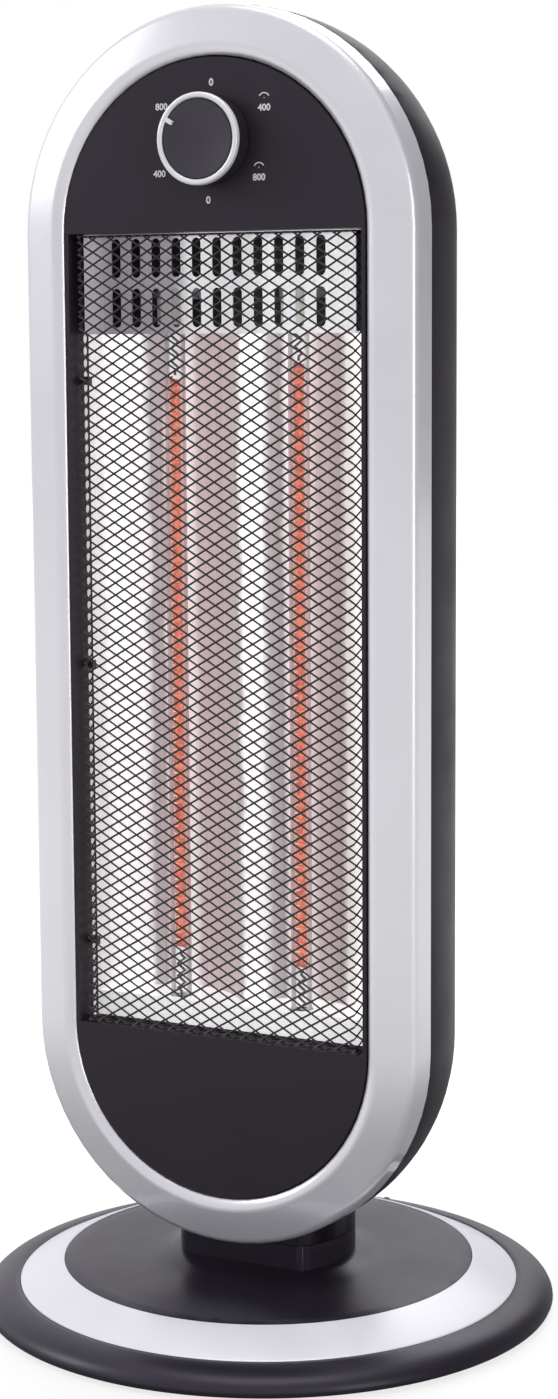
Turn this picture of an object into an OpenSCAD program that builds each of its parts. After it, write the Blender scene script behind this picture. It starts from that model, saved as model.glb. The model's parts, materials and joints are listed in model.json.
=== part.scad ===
// Carbon heater: a tall oval head with two glowing tubes, swinging on a round base.
// Millimetres. The origin is the centre of the base's underside, on the swing axis.
// +Z is up, the front of the heater faces -Y and +X is to the right seen from the front.

/* [Overall] */
// Height from the floor to the top of the head
overall_h = 620; // [600:1:660]
// Swing of the head to each side, in degrees
swing = 35; // [20:1:36]

/* [Base] */
// Diameter over the skirt
base_d = 280; // [270:1:310]
// Height of the dome where the collar stands on it
base_h = 26; // [25:0.5:32]
// Width of the black skirt outside the silver trim ring
skirt_w = 18; // [17:0.5:22]
// Width of the silver trim ring
trim_w = 21.5; // [18:0.5:26]
// Wall of the base moulding
base_wall = 2.6; // [2.2:0.1:3]
// Thickness of the bottom plate
plate_t = 2.5; // [2:0.1:3]
// Height of the rubber feet under the bottom plate
foot_h = 3; // [2.6:0.1:4]
// Diameter of a rubber foot
foot_d = 16; // [12:0.5:18]
// Number of rubber feet
foot_count = 5; // [4:1:8]

/* [Neck] */
// Diameter of the round neck
neck_d = 86; // [82:1:90]
// How far the neck's flat front stands ahead of the swing axis
neck_front = 29; // [28:0.5:31]
// How far the neck's flat back stands behind the swing axis
neck_back = 33; // [31:0.5:34]
// Radius of the neck's upright corners
neck_corner = 4; // [2:0.5:6]
// Height of the fixed collar under the neck
collar_h = 12; // [10:0.5:16]
// Wall of the collar and the neck
neck_wall = 3; // [2.5:0.1:3.4]
// Outer diameter of the hollow pivot post
post_d = 26; // [24:0.5:27]
// Wall of the pivot post
post_wall = 3; // [2.5:0.1:3.5]

/* [Head] */
// Width over the silver frame's side
head_w = 204; // [200:1:210]
// Distance from the swing axis forward to the frame's outer face edge
face_t = 48; // [46:0.5:52]
// Distance from the swing axis back to the flat of the back
back_t = 42; // [40:0.5:46]
// Width of the flat on the back
back_flat_w = 100; // [92:1:110]
// Depth of the silver band on the side
band_depth = 15; // [13:0.5:17]
// Straight depth of the black side behind the band
rear_straight = 13; // [10:0.5:14]
// Wall of the rear housing
rear_wall = 2.5; // [2:0.1:3]
// Wall of the silver frame
frame_wall = 2.2; // [2:0.1:2.5]
// Width of the silver face, from its outer edge to the front panel
face_w = 23; // [21.5:0.5:24]
// How far the lip stands ahead of the outer face edge
lip_rise = 4; // [3:0.1:5]
// Depth of the front panel's face below the lip
panel_sink = 1.6; // [1:0.1:2.4]
// Thickness of the front panel
panel_t = 2.2; // [1.8:0.1:2.6]

/* [Window] */
// Width of the panel's strip at each side of the window
window_margin = 2.7; // [2.2:0.1:4]
// How far the window's ends stop short of the head's straight sides
window_end = 0; // [0:0.5:8]
// Depth of the wall round the window, from the panel's face
window_wall_depth = 12.4; // [11:0.1:13.4]

/* [Guard grille] */
// Gap between the grille's front and the window's sides
grille_side_gap = 4.6; // [4:0.1:5.5]
// Gap between the grille's front and the window's ends
grille_end_gap = 1.2; // [1.1:0.1:3]
// Depth of the grille's folded sides
grille_fold = 10; // [8:0.5:11]
// Depth of the grille's lip at its top edge
grille_lip = 3.4; // [2.6:0.1:3.6]
// Sheet thickness of the grille
grille_t = 0.8; // [0.6:0.1:1.2]
// Diamonds across the grille's front
grille_cols = 7; // [5:1:8]
// Diamonds up the grille's front
grille_rows = 34; // [20:1:36]
// Width of a strand
strand_w = 1.3; // [1:0.1:1.8]

/* [Reflector] */
// Sheet thickness of the reflector and its plates
sheet_t = 0.8; // [0.6:0.1:1]
// Depth of a trough's deepest line behind the tube's centre
trough_depth = 18.5; // [16:0.5:20]
// Height of the slotted plate at the window's top
top_plate_h = 46.2; // [45.5:0.1:54]
// Slots in each of the plate's two rows
slot_count = 11; // [9:1:12]
// Spacing of the slots
slot_pitch = 10.6; // [10:0.1:11.2]
// Spacing of the two rows of slots
slot_rows = 22.8; // [20:0.1:23.4]
// Width of a slot
slot_w = 5; // [4:0.1:5.5]
// Height of a slot
slot_h = 18; // [16:0.5:19]
// Height of the sloping strip at the window's bottom
bottom_strip_h = 11.5; // [10:0.5:16]
// How far the strip leans back over its height
bottom_strip_lean = 2; // [0:0.2:2]

/* [Heating tubes] */
// Distance between the two tubes
tube_pitch = 65; // [60:0.5:70]
// Distance of the tubes' centres ahead of the swing axis
tube_t = 26.7; // [25.5:0.1:27.5]
// Outer diameter of a quartz tube
tube_d = 10; // [9:0.5:10.5]
// Wall of a quartz tube
tube_wall = 1; // [0.8:0.1:1.2]
// Free lead above the left and the right carbon strip, inside the tube
lead_top_left = 34.8; // [24:0.1:40]
lead_top_right = 28.1; // [24:0.1:40]
// Free lead below the left and the right carbon strip, inside the tube
lead_low_left = 34.5; // [24:0.1:40]
lead_low_right = 31; // [24:0.1:40]
// Width of the carbon strip
strip_w = 5.2; // [3.5:0.1:5.6]
// Length over which the carbon strip makes one full twist
strip_turn = 9; // [8:0.5:14]

/* [Knob] */
// Height of the knob's centre above the window
knob_rise = 40.5; // [36:0.5:44]
// Diameter over the knob's bright ring
knob_d = 41.3; // [38:0.1:44]
// Height of the knob over the panel
knob_h = 12.1; // [11:0.1:14]
// Width of the knob's bright ring
knob_ring_w = 2.7; // [2:0.1:3.2]
// Direction of the pointer, counted anticlockwise from +X
pointer_angle = 150; // [0:30:330]

/* [Back] */
// Width of a vent slot in the back
vent_w = 66; // [50:1:76]
// Height of a vent slot
vent_h = 3.6; // [3:0.1:4.5]
// Spacing of the vent slots
vent_pitch = 10; // [9:0.5:12]
// Vent slots in the upper bank
vent_upper = 12; // [8:1:14]
// Vent slots in the lower bank
vent_lower = 8; // [5:1:10]
// Width of the carrying grip's hollow
grip_w = 84; // [78:1:90]
// Height of the carrying grip's hollow
grip_h = 24; // [22:0.5:26]
// Depth of the carrying grip's hollow
grip_depth = 20; // [18:0.5:23]

/* [Swing drive] */
// Gear module
gear_m = 1; // [1:0.05:1.05]
// Teeth of the full circle that the fixed sector is cut from
sector_teeth = 48; // [46:2:48]
// Teeth of the motor's pinion
pinion_teeth = 16; // [16:1:17]
// Diameter of the swing motor
motor_d = 50; // [46:1:50]
// Height of the swing motor
motor_h = 16; // [14:0.5:20]

/* [Hidden] */

$fn = 48;
eps = 0.01;
seam = 0.2;        // gap between mouldings that meet
run_fit = 0.05;    // radial clearance of a turning or sliding fit
snug = 0.03;       // radial clearance of a fixed fit
face_gap = 0.1;    // gap between parts that slide face to face

// Screws
screw_r = 1.5;
screw_hole_r = 1.55;
screw_pass_r = 1.8;
screw_head_r = 3.2;
screw_head_h = 2;

// Base heights and radii
base_r = base_d / 2;
plate_z = foot_h;
plate_top = plate_z + plate_t;
skirt_foot_z = plate_z - 0.8;
skirt_centre_z = skirt_foot_z + 1.3;
trim_r = base_r - skirt_w;
trim_in_r = trim_r - trim_w;
trim_t = 1.6;
trim_low_z = base_h - 13.2;
trim_high_z = base_h - 4;
dome_flat_r = neck_d / 2 + 1.5;
crease_r = dome_flat_r + 14.5;
crease_z = base_h - 2.4;
dome_under_z = base_h - base_wall;
plate_r = base_r - base_wall - 2;
base_screw_r = trim_r - 14;
foot_start = -90;
screw_start = foot_start + 180 / foot_count;
foot_ring_r = trim_r - 4;
foot_stem_r = 2.5;
rib_in_r = dome_flat_r + 5.5;
rib_out_r = base_screw_r - 12;
block_y = rib_out_r - 21;

// Neck and pivot
collar_top = base_h + collar_h;
neck_z = collar_top + 0.4;
head_lift = 2;
head_bottom = collar_top + head_lift;
neck_top = head_bottom + 32;
neck_floor = 5;
post_r = post_d / 2;
post_bore_r = post_r - post_wall;
post_pass_r = post_r + 0.3;
sleeve_r = post_r + 6;
washer_r = post_r + 10;
washer_t = 2;
washer_sink = 0.8;
flange_t = 2.5;
flange_r = neck_d / 2 - 5;
collar_screw_ring = neck_d / 2 - 11;
groove_depth = 1;
ring_z = neck_top + face_gap;
ring_t = 2;
sector_z = ring_z + ring_t + face_gap;
sector_t = 4;
nut_z = sector_z + sector_t + face_gap;
nut_t = 2.6;
post_top = nut_z + nut_t;

// Head: a stadium outline, two half circles joined by straights
head_h = overall_h - head_bottom;
head_r = head_w / 2;
half_len = (head_h - head_w) / 2;
head_cz = overall_h - head_h / 2;
band_t = face_t - band_depth;
front_r = head_r - 0.8;
lip_r = front_r - face_w;
lip_t = face_t + lip_rise;
lip_round = 1.6;
lip_wall = 2;
lip_depth = 5.8;
edge_round = 2.6;
shoulder_t = band_t - rear_straight;
back_flat_r = back_flat_w / 2;
tongue_h = 3;
arc_steps = 14;

// Front panel
panel_face_t = lip_t - panel_sink;
panel_back_t = panel_face_t - panel_t;
panel_gap = 0.6;
panel_flange_top = lip_t - lip_depth - seam;
panel_flange_t = 2;
panel_back_flange = panel_flange_top - panel_flange_t;
panel_rim = 2;

// Housing screws stand in a ring of bosses between the panel's flange and the side wall
boss_r = 4;
boss_ring_r = front_r - frame_wall - 1 - boss_r - 3;
panel_flange_r = boss_ring_r - boss_r - 0.7;
well_r = 5.6;
well_hole_r = 4.2;
well_floor_front = shoulder_t - 6;
well_floor_t = 2;
side_screw_y = half_len / 2;
end_screw_angle = 40;
ear_r = 4.5;
ear_angles = [60, 90, 120];

// Window and what stands in it
win_x = lip_r - window_margin;
win_y = half_len - window_end;
win_wall = 1.8;
win_wall_t = panel_face_t - window_wall_depth;
grille_face_t = panel_face_t - 0.8;
grille_x = win_x - grille_side_gap;
grille_y = win_y - grille_end_gap;
grille_splay = 1.6;
grille_edge = 1.6;
top_plate_t = grille_face_t - 4.4;
ledge_y = win_y - top_plate_h;
plate_half_w = grille_x - grille_t + 0.2;
floor_y = -win_y + 0.5;

// Reflector section: two troughs, a ridge between them and a flange at each side
tube_x = tube_pitch / 2;
trough_t = tube_t - trough_depth;
ear_t = win_wall_t - grille_t - 0.05;
ear_x = grille_x + grille_splay - grille_t - 0.1;
flange_front = ear_t - 0.05;
refl_edge_x = win_x - 2.4;
refl_rise = flange_front - trough_t;
refl_k = refl_rise / pow(refl_edge_x - tube_x, 2);
refl_steps = 8;
shield_t = 0.8;
shield_back_t = trough_t - 6;
shield_x = win_x + 3.5;
rail_x = shield_x + screw_head_r + 0.3;
rail_outer_x = rail_x + 4;
rail_low = 38 - win_y;
rail_high = win_y - 68;
rail_y = [rail_low, (rail_low + rail_high) / 2, rail_high];
shield_low_y = -win_y - 18;

// Tubes
tube_r = tube_d / 2;
cap_r = tube_r + 3;
cap_len = 22;
cap_grip = 11;
top_cap_y = ledge_y + sheet_t + 3.5;
strip_top_y = floor_y + bottom_strip_h;
bottom_cap_y = strip_top_y - 1 - cap_len;
tube_top_y = top_cap_y + cap_grip;
tube_low_y = bottom_cap_y + cap_len - cap_grip;
function glow_top_y(side) = tube_top_y - (side < 0 ? lead_top_left : lead_top_right);
function glow_low_y(side) = tube_low_y + (side < 0 ? lead_low_left : lead_low_right);
strip_t = 0.9;
lead_w = 0.9;
lead_swing = 2;
clip_t = 0.8;
clip_w = 8;

// Knob and switch
knob_y = win_y + knob_rise;
knob_r = knob_d / 2;
knob_back_t = panel_face_t + 0.8;
knob_wall = 2.2;
spindle_r = 3;
switch_front_t = panel_back_t - 8;
switch_x = 19;
switch_post_r = 3.5;
switch_size = 30;
switch_depth = 18;

// Drive gears
sector_pitch_r = gear_m * sector_teeth / 2;
pinion_pitch_r = gear_m * pinion_teeth / 2;
gear_centres = sector_pitch_r + pinion_pitch_r;
pressure_angle = 20;
backlash = 0.16;
shaft_r = 3;
bracket_z = neck_top + 10;
bracket_t = 1.6;
motor_z = bracket_z + bracket_t;
motor_ear = motor_d / 2 + 4;
pillar_r = 3.5;
pillar_y = min(neck_front, neck_back) - 4;
pillar_x = gear_centres - sqrt(pow(motor_d / 2 + screw_head_r + 0.3, 2) - pillar_y * pillar_y);
pillars = [[pillar_x, -pillar_y], [pillar_x, pillar_y], [15 - neck_d / 2, 0]];
bush_r = 5;

// Cord gland in the skirt
gland_r = 3.2;
gland_bore_r = 2.6;
gland_collar_r = 4;
gland_z = plate_z + 3.2;
gland_y = trim_r + 2;

// Tip-over switch
tip_x = -rib_in_r - 16;
tip_z = plate_top + face_gap;
plunger_r = 4;
plunger_drop = 4;
plunger_flange_r = 6;
plunger_flange_z = plate_top + plunger_drop + 0.6;
plunger_flange_t = 1.5;
stem_r = 1.8;
tip_box_w = 9;
tip_bore_r = 6.4;
tip_top = dome_under(-tip_x + 9.5) - 0.3;
tip_roof = 1.5;
spring_wire = 0.35;
spring_r = 4;
spring_turns = 6;

// Colours
black_gloss = [0.07, 0.065, 0.07];
charcoal = [0.22, 0.2, 0.23];
silver = [0.78, 0.78, 0.8];
steel = [0.6, 0.61, 0.63];
bright = [0.9, 0.9, 0.91];

// Height of the dome's underside at a radius between the crease and the trim ring
function dome_under(r) = let (u = (r - crease_r) / (trim_in_r - crease_r))
    crease_z - base_wall + (trim_high_z - trim_t - 0.15 - crease_z) * u;

function arc(c, r, a0, a1, n) = [for (i = [0:n]) let (a = a0 + (a1 - a0) * i / n)
    [c[0] + r * cos(a), c[1] + r * sin(a)]];
function oval_arc(c, ra, rb, a0, a1, n) = [for (i = [0:n]) let (a = a0 + (a1 - a0) * i / n)
    [c[0] + ra * cos(a), c[1] + rb * sin(a)]];
function reversed(list) = [for (i = [len(list) - 1:-1:0]) list[i]];

// A place on the head's outline: r out from the centre line, at an angle on the upper or lower end
function end_place(r, a) = [r * cos(a), (a > 0 ? half_len : -half_len) + r * sin(a)];
housing_screw_places = concat(
    [for (a = [end_screw_angle, 180 - end_screw_angle, -end_screw_angle, end_screw_angle - 180])
        end_place(boss_ring_r, a)],
    [for (sx = [-1, 1], sy = [-1, 1]) [sx * boss_ring_r, sy * side_screw_y]]);
ear_ring_r = panel_flange_r + 1.5;
ear_places = concat([for (a = ear_angles) end_place(ear_ring_r, a)],
    [for (a = ear_angles) end_place(ear_ring_r, -a)]);
rail_places = [for (sx = [-1, 1], y = rail_y) [sx * rail_x, y]];

// The frame's sloping face, and its underside, at a distance r from the centre line
function face_line(r) = lip_t - lip_rise * (r - lip_r - lip_round) / (front_r - lip_r - lip_round);
function face_under(r) = face_line(r) - frame_wall;

// The neck's plan: a round with a flat front and back and rounded corners, grown by o
function neck_fillet(flat, o) = let (f = neck_corner + o, cy = flat + o - f,
    cx = sqrt(pow(neck_d / 2 + o - f, 2) - cy * cy)) [cx, cy, f, atan2(cy, cx)];
function neck_plan(o) = let (b = neck_fillet(neck_back, o), f = neck_fillet(neck_front, o),
    r = neck_d / 2 + o) concat(
    arc([b[0], b[1]], b[2], b[3], 90, 4),
    arc([-b[0], b[1]], b[2], 90, 180 - b[3], 4),
    arc([0, 0], r, 180 - b[3], 180 + f[3], 16),
    arc([-f[0], -f[1]], f[2], 180 + f[3], 270, 4),
    arc([f[0], -f[1]], f[2], 270, 360 - f[3], 4),
    arc([0, 0], r, 360 - f[3], 360 + b[3], 16));

// Involute gear outline with teeth k0 to k1, tooth 0 centred on +X
function involute_at(rb, r) = let (a = sqrt(max(0, pow(r / rb, 2) - 1))) a * 180 / PI - atan(a);
function gear_teeth(teeth, m, k0, k1) = let (rp = m * teeth / 2, rb = rp * cos(pressure_angle),
    rt = rp + m, rr = rp - 1.25 * m, r0 = max(rb, rr), n = 5,
    half = 90 / teeth - backlash * 90 / (PI * rp) + involute_at(rb, rp))
    [for (k = [k0:k1]) let (c = 360 * k / teeth) each concat(
        [[rr * cos(c - half), rr * sin(c - half)]],
        [for (i = [0:n]) let (r = r0 + (rt - r0) * i / n, a = c - half + involute_at(rb, r))
            [r * cos(a), r * sin(a)]],
        [for (i = [n:-1:0]) let (r = r0 + (rt - r0) * i / n, a = c + half - involute_at(rb, r))
            [r * cos(a), r * sin(a)]],
        [[rr * cos(c + half), rr * sin(c + half)]])];

// The head's local frame: x across, y up from the head's middle, z forward from the swing axis
module in_head() {
    translate([0, 0, head_cz]) rotate([90, 0, 0]) children();
}

// Sweeps a section of [distance from the centre line, forward] round the stadium outline
module stadium_sweep() {
    translate([0, half_len, 0]) rotate_extrude(angle = 180, $fn = 96) children();
    translate([0, -half_len, 0]) rotate([0, 0, 180]) rotate_extrude(angle = 180, $fn = 96) children();
    for (side = [0, 1]) mirror([side, 0, 0])
        translate([0, half_len, 0]) rotate([90, 0, 0]) linear_extrude(2 * half_len) children();
}

module at(places, z) {
    for (p = places) translate([p[0], p[1], z]) children();
}

module bolt_ring(r, count, start, z) {
    for (i = [0:count - 1]) rotate(start + 360 * i / count) translate([r, 0, z]) children();
}

// A cylinder-headed screw whose head's seat is at z = 0 and whose shank points up
module screw(length) {
    cylinder(r = screw_r, h = length);
    translate([0, 0, -screw_head_h]) difference() {
        cylinder(r = screw_head_r, h = screw_head_h);
        for (a = [0, 90]) rotate(a) translate([-0.4, -1.8, -eps]) cube([0.8, 3.6, 1]);
    }
}

module ring(r_out, r_in, h) {
    difference() {
        cylinder(r = r_out, h = h);
        translate([0, 0, -1]) cylinder(r = r_in, h = h + 2);
    }
}

module slot_2d(w, h) {
    if (w > h) {
        square([w - h, h], center = true);
        for (s = [-1, 1]) translate([s * (w - h) / 2, 0]) circle(d = h, $fn = 24);
    } else {
        square([w, h - w], center = true);
        for (s = [-1, 1]) translate([0, s * (h - w) / 2]) circle(d = w, $fn = 24);
    }
}

// Base

dome_top = concat(
    [[trim_in_r - 0.3, trim_high_z - 0.1], [(crease_r + trim_in_r) / 2, crease_z - 0.5], [crease_r, crease_z]],
    [for (i = [1:5]) let (u = i / 5) [crease_r + (dome_flat_r - crease_r) * u,
        crease_z + (base_h - crease_z) * u * u]]);

module base_shell() {
    skirt = oval_arc([trim_r + 0.5, skirt_centre_z], base_r - trim_r - 0.5,
        trim_low_z - skirt_centre_z, 0, 90, 10);
    seat = trim_t + 0.15;
    skirt_in = oval_arc([trim_r + 0.5, skirt_centre_z], base_r - trim_r - 0.5 - base_wall,
        trim_low_z - seat - base_wall - skirt_centre_z, 90, 0, 10);
    color(black_gloss) difference() {
        union() {
            rotate_extrude($fn = 120) polygon(concat([[base_r - 0.6, skirt_foot_z]], skirt,
                [[trim_r + 0.2, trim_low_z - seat], [trim_in_r - 0.3, trim_high_z - seat]],
                dome_top,
                [[post_pass_r, base_h], [post_pass_r, dome_under_z], [dome_flat_r, dome_under_z],
                [crease_r, crease_z - base_wall], [trim_in_r, trim_high_z - seat - base_wall]],
                skirt_in, [[base_r - 0.6 - base_wall, skirt_foot_z]]));
            intersection() {
                bolt_ring(base_screw_r, foot_count, screw_start, plate_top + face_gap)
                    cylinder(r = 4.5, h = base_h);
                rotate_extrude($fn = 120) polygon([[0, 0], [trim_r + 0.2, 0],
                    [trim_r + 0.2, trim_low_z - seat - 0.5], [trim_in_r - 0.3, trim_high_z - seat - 0.5],
                    [0, trim_high_z - seat - 0.5]]);
            }
        }
        bolt_ring(base_screw_r, foot_count, screw_start, plate_top)
            cylinder(r = screw_hole_r, h = trim_low_z - plate_top - seat - 0.8);
        bolt_ring(collar_screw_ring, 4, 45, dome_under_z - 1) cylinder(r = screw_pass_r, h = 10);
        // The cord's way out at the back
        translate([0, gland_y, gland_z]) rotate([-90, 0, 0]) {
            cylinder(r = gland_r + snug, h = 40);
            translate([0, 0, -14]) cylinder(r = gland_collar_r + 0.1, h = 14);
        }
    }
}

module base_trim_ring() {
    color(silver) rotate_extrude($fn = 120) polygon([
        [trim_r, trim_low_z - trim_t], [trim_r, trim_low_z - 0.2], [trim_r - 0.8, trim_low_z + 0.4],
        [(trim_r + trim_in_r) / 2, (trim_low_z + trim_high_z) / 2 + 0.5],
        [trim_in_r + 0.8, trim_high_z + 0.1], [trim_in_r, trim_high_z - 0.1],
        [trim_in_r, trim_high_z - trim_t]]);
}

module base_plate() {
    color(charcoal) difference() {
        union() {
            translate([0, 0, plate_z]) cylinder(r = plate_r, h = plate_t, $fn = 120);
            for (r = [rib_in_r, rib_out_r]) translate([0, 0, plate_top - eps]) ring(r + 1, r - 1, 1.5);
        }
        bolt_ring(base_screw_r, foot_count, screw_start, 0) cylinder(r = screw_pass_r, h = 20);
        bolt_ring(foot_ring_r, foot_count, foot_start, 0) cylinder(r = foot_stem_r + snug, h = 20);
        translate([tip_x, 0, 0]) cylinder(r = plunger_r + run_fit, h = 20);
        translate([-gland_collar_r - 0.4, gland_y - 5, 0]) cube([2 * gland_collar_r + 0.8, 40, 20]);
    }
}

module rubber_feet() {
    color([0.1, 0.1, 0.1]) bolt_ring(foot_ring_r, foot_count, foot_start, 0) {
        rotate_extrude() polygon([[0, 0], [foot_d / 2 - 0.8, 0], [foot_d / 2, 0.8],
            [foot_d / 2, foot_h], [foot_stem_r, foot_h], [foot_stem_r, plate_top + 0.05],
            [foot_stem_r + 0.9, plate_top + 0.05], [foot_stem_r - 0.6, plate_top + 2.4],
            [0, plate_top + 2.4]]);
    }
}

module base_screws() {
    color(steel) bolt_ring(base_screw_r, foot_count, screw_start, plate_z)
        screw(trim_low_z - plate_z - 3.6);
}

module cord_gland() {
    color([0.1, 0.1, 0.1]) translate([0, gland_y, gland_z]) rotate([-90, 0, 0]) difference() {
        union() {
            cylinder(r = gland_r, h = base_r - gland_y - 0.6);
            translate([0, 0, -2.1]) cylinder(r = gland_collar_r, h = 2);
            translate([0, 0, -3]) cylinder(r = gland_r, h = 3);
        }
        translate([0, 0, -6]) cylinder(r = gland_bore_r, h = 40);
    }
}

module terminal_block() {
    color([0.85, 0.85, 0.8]) translate([0, block_y, plate_top + 0.1]) difference() {
        union() {
            translate([-16, -8, 0]) cube([32, 16, 6]);
            for (x = [-10, 0, 10]) translate([x, 0, 6 - eps]) cylinder(r = 4, h = 3.5);
        }
        for (x = [-10, 0, 10]) {
            translate([x, 0, 3]) cylinder(r = 2, h = 10);
            translate([x, -9, 3.4]) rotate([-90, 0, 0]) cylinder(r = 1.6, h = 18);
        }
    }
}

// Tip-over switch: a guide with the plunger, and the switch block beside it

module tip_switch() {
    color([0.75, 0.72, 0.65]) translate([tip_x, 0, 0]) difference() {
        union() {
            translate([0, 0, tip_z]) cylinder(r = tip_bore_r + 1.6, h = tip_top - tip_z);
            translate([-8, 4, tip_z]) cube([16, tip_box_w + 2, tip_top - tip_z - 2]);
        }
        translate([0, 0, tip_z - 1]) cylinder(r = tip_bore_r, h = tip_top - tip_roof - tip_z + 1);
        cylinder(r = stem_r + run_fit, h = 40);
    }
}

module tip_plunger() {
    color([0.9, 0.9, 0.88]) translate([tip_x, 0, 0]) {
        cylinder(r = plunger_r, h = plunger_flange_z);
        translate([0, 0, plunger_flange_z - eps])
            cylinder(r = plunger_flange_r, h = plunger_flange_t + eps);
        cylinder(r = stem_r, h = tip_top - 0.2);
    }
}

// The spring as one wound wire, its ends closed flat against the flange and the roof
module tip_spring() {
    z0 = plunger_flange_z + plunger_flange_t + spring_wire + 0.05;
    z1 = tip_top - tip_roof - spring_wire - 0.05;
    sides = 6;
    steps = 12 * spring_turns;
    rings = [for (i = [0:steps]) let (a = 360 * i / 12, z = z0 + (z1 - z0) * i / steps)
        [for (k = [0:sides - 1]) let (b = 360 * k / sides, r = spring_r + spring_wire * cos(b))
            [r * cos(a), r * sin(a), z + spring_wire * sin(b)]]];
    points = [for (q = rings) each q];
    n = len(rings);
    walls = [for (i = [0:n - 2], k = [0:sides - 1]) let (j = (k + 1) % sides)
        each [[i * sides + k, i * sides + j, (i + 1) * sides + j],
            [i * sides + k, (i + 1) * sides + j, (i + 1) * sides + k]]];
    first = [for (k = [1:sides - 2]) [0, k + 1, k]];
    last = [for (k = [1:sides - 2]) [(n - 1) * sides, (n - 1) * sides + k, (n - 1) * sides + k + 1]];
    color(steel) translate([tip_x, 0, 0]) polyhedron(points, [for (f = concat(walls, first, last))
        [f[0], f[2], f[1]]]);
}

// Collar and pivot, fixed to the base

module base_collar() {
    color(black_gloss) difference() {
        union() {
            difference() {
                translate([0, 0, base_h]) linear_extrude(collar_h) polygon(neck_plan(0));
                translate([0, 0, base_h - 1])
                    linear_extrude(collar_h - neck_wall + 1) polygon(neck_plan(-neck_wall));
            }
            bolt_ring(collar_screw_ring, 4, 45, base_h) cylinder(r = boss_r, h = collar_h - 1);
            translate([0, 0, base_h]) ring(post_pass_r + 3, post_pass_r, collar_h - 1);
        }
        translate([0, 0, base_h - 1]) cylinder(r = post_pass_r, h = collar_h + 2);
        translate([0, 0, collar_top - washer_sink]) cylinder(r = washer_r + 0.2, h = 5);
        bolt_ring(collar_screw_ring, 4, 45, base_h - 1) cylinder(r = screw_hole_r, h = collar_h - 2.5);
    }
}

module collar_screws() {
    color(steel) bolt_ring(collar_screw_ring, 4, 45, dome_under_z - flange_t)
        screw(flange_t + base_wall + collar_h - 5);
}

module pivot_post() {
    color(steel) difference() {
        union() {
            translate([0, 0, dome_under_z - flange_t]) cylinder(r = flange_r, h = flange_t);
            translate([0, 0, dome_under_z - flange_t])
                cylinder(r = post_r, h = post_top - dome_under_z + flange_t);
        }
        translate([0, 0, dome_under_z - flange_t - 1]) cylinder(r = post_bore_r, h = post_top);
        translate([0, 0, ring_z - 0.05]) ring(post_r + 5, post_r - groove_depth, ring_t + 0.1);
        bolt_ring(collar_screw_ring, 4, 45, dome_under_z - flange_t - 1)
            cylinder(r = screw_pass_r, h = flange_t + 2);
    }
}

module slip_washer() {
    color([0.92, 0.92, 0.88]) translate([0, 0, collar_top - washer_sink])
        ring(washer_r, post_r + 0.2, washer_t);
}

module retaining_ring() {
    color(steel) translate([0, 0, ring_z]) difference() {
        ring(sleeve_r, post_r - groove_depth + snug, ring_t);
        translate([-sleeve_r - 1, -3, -1]) cube([sleeve_r, 6, ring_t + 2]);
    }
}

// Toothed over the swing and a little more, with a plain rim at each end as a stop
module drive_sector() {
    tooth = 360 / sector_teeth;
    last = ceil((swing + 10) / tooth);
    end = (last + 0.5) * tooth;
    rim_r = sector_pitch_r + gear_m;
    color([0.85, 0.84, 0.8]) translate([0, 0, sector_z]) linear_extrude(sector_t) difference() {
        union() {
            circle(r = sleeve_r - 1);
            polygon(concat([[0, 0]], arc([0, 0], rim_r, -end - 10, -end, 4),
                gear_teeth(sector_teeth, gear_m, -last, last), arc([0, 0], rim_r, end, end + 10, 4)));
        }
        circle(r = post_r + snug);
    }
}

module post_nut() {
    color(steel) translate([0, 0, nut_z]) difference() {
        cylinder(r = sleeve_r - 1, h = nut_t, $fn = 6);
        translate([0, 0, -1]) cylinder(r = post_r + snug, h = nut_t + 2);
    }
}

// Neck and swing drive, carried by the head

neck_ear_x = neck_d / 2 + 6;
neck_ear_ys = [-18, 8];
neck_ear_top = neck_top - 2;
neck_ear_t = 3;
neck_ear_places = [for (sx = [-1, 1], y = neck_ear_ys) [sx * neck_ear_x, y]];

module neck() {
    color(black_gloss) difference() {
        union() {
            difference() {
                translate([0, 0, neck_z]) linear_extrude(neck_top - neck_z) polygon(neck_plan(0));
                translate([0, 0, neck_z + neck_floor])
                    linear_extrude(neck_top) polygon(neck_plan(-neck_wall));
            }
            translate([0, 0, neck_z]) cylinder(r = sleeve_r, h = neck_top - neck_z);
            for (a = [0, 90]) rotate(a) translate([-neck_d / 2 + 14, -1, neck_z])
                cube([neck_d - 28, 2, neck_top - neck_z - 8]);
            for (p = pillars) translate([p[0], p[1], neck_z]) cylinder(r = pillar_r, h = bracket_z - neck_z);
            at(neck_ear_places, neck_ear_top - neck_ear_t) cylinder(r = 5, h = neck_ear_t);
            for (side = [0, 1], y = neck_ear_ys) mirror([side, 0, 0])
                translate([neck_d / 2 - 7, y - 5, neck_ear_top - neck_ear_t])
                    cube([neck_ear_x - neck_d / 2 + 7, 10, neck_ear_t]);
        }
        translate([0, 0, neck_z - 1]) cylinder(r = post_r + run_fit, h = neck_top);
        translate([0, 0, neck_z - 1])
            cylinder(r = washer_r + 0.2, h = 1 + washer_t - washer_sink - 0.4 + face_gap);
        at(neck_ear_places, neck_ear_top - 10) cylinder(r = screw_pass_r, h = 20);
        for (p = pillars) translate([p[0], p[1], bracket_z - 10]) cylinder(r = screw_hole_r, h = 11);
    }
}

module neck_screws() {
    color(steel) at(neck_ear_places, neck_ear_top) mirror([0, 0, 1]) screw(9);
}

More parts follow.
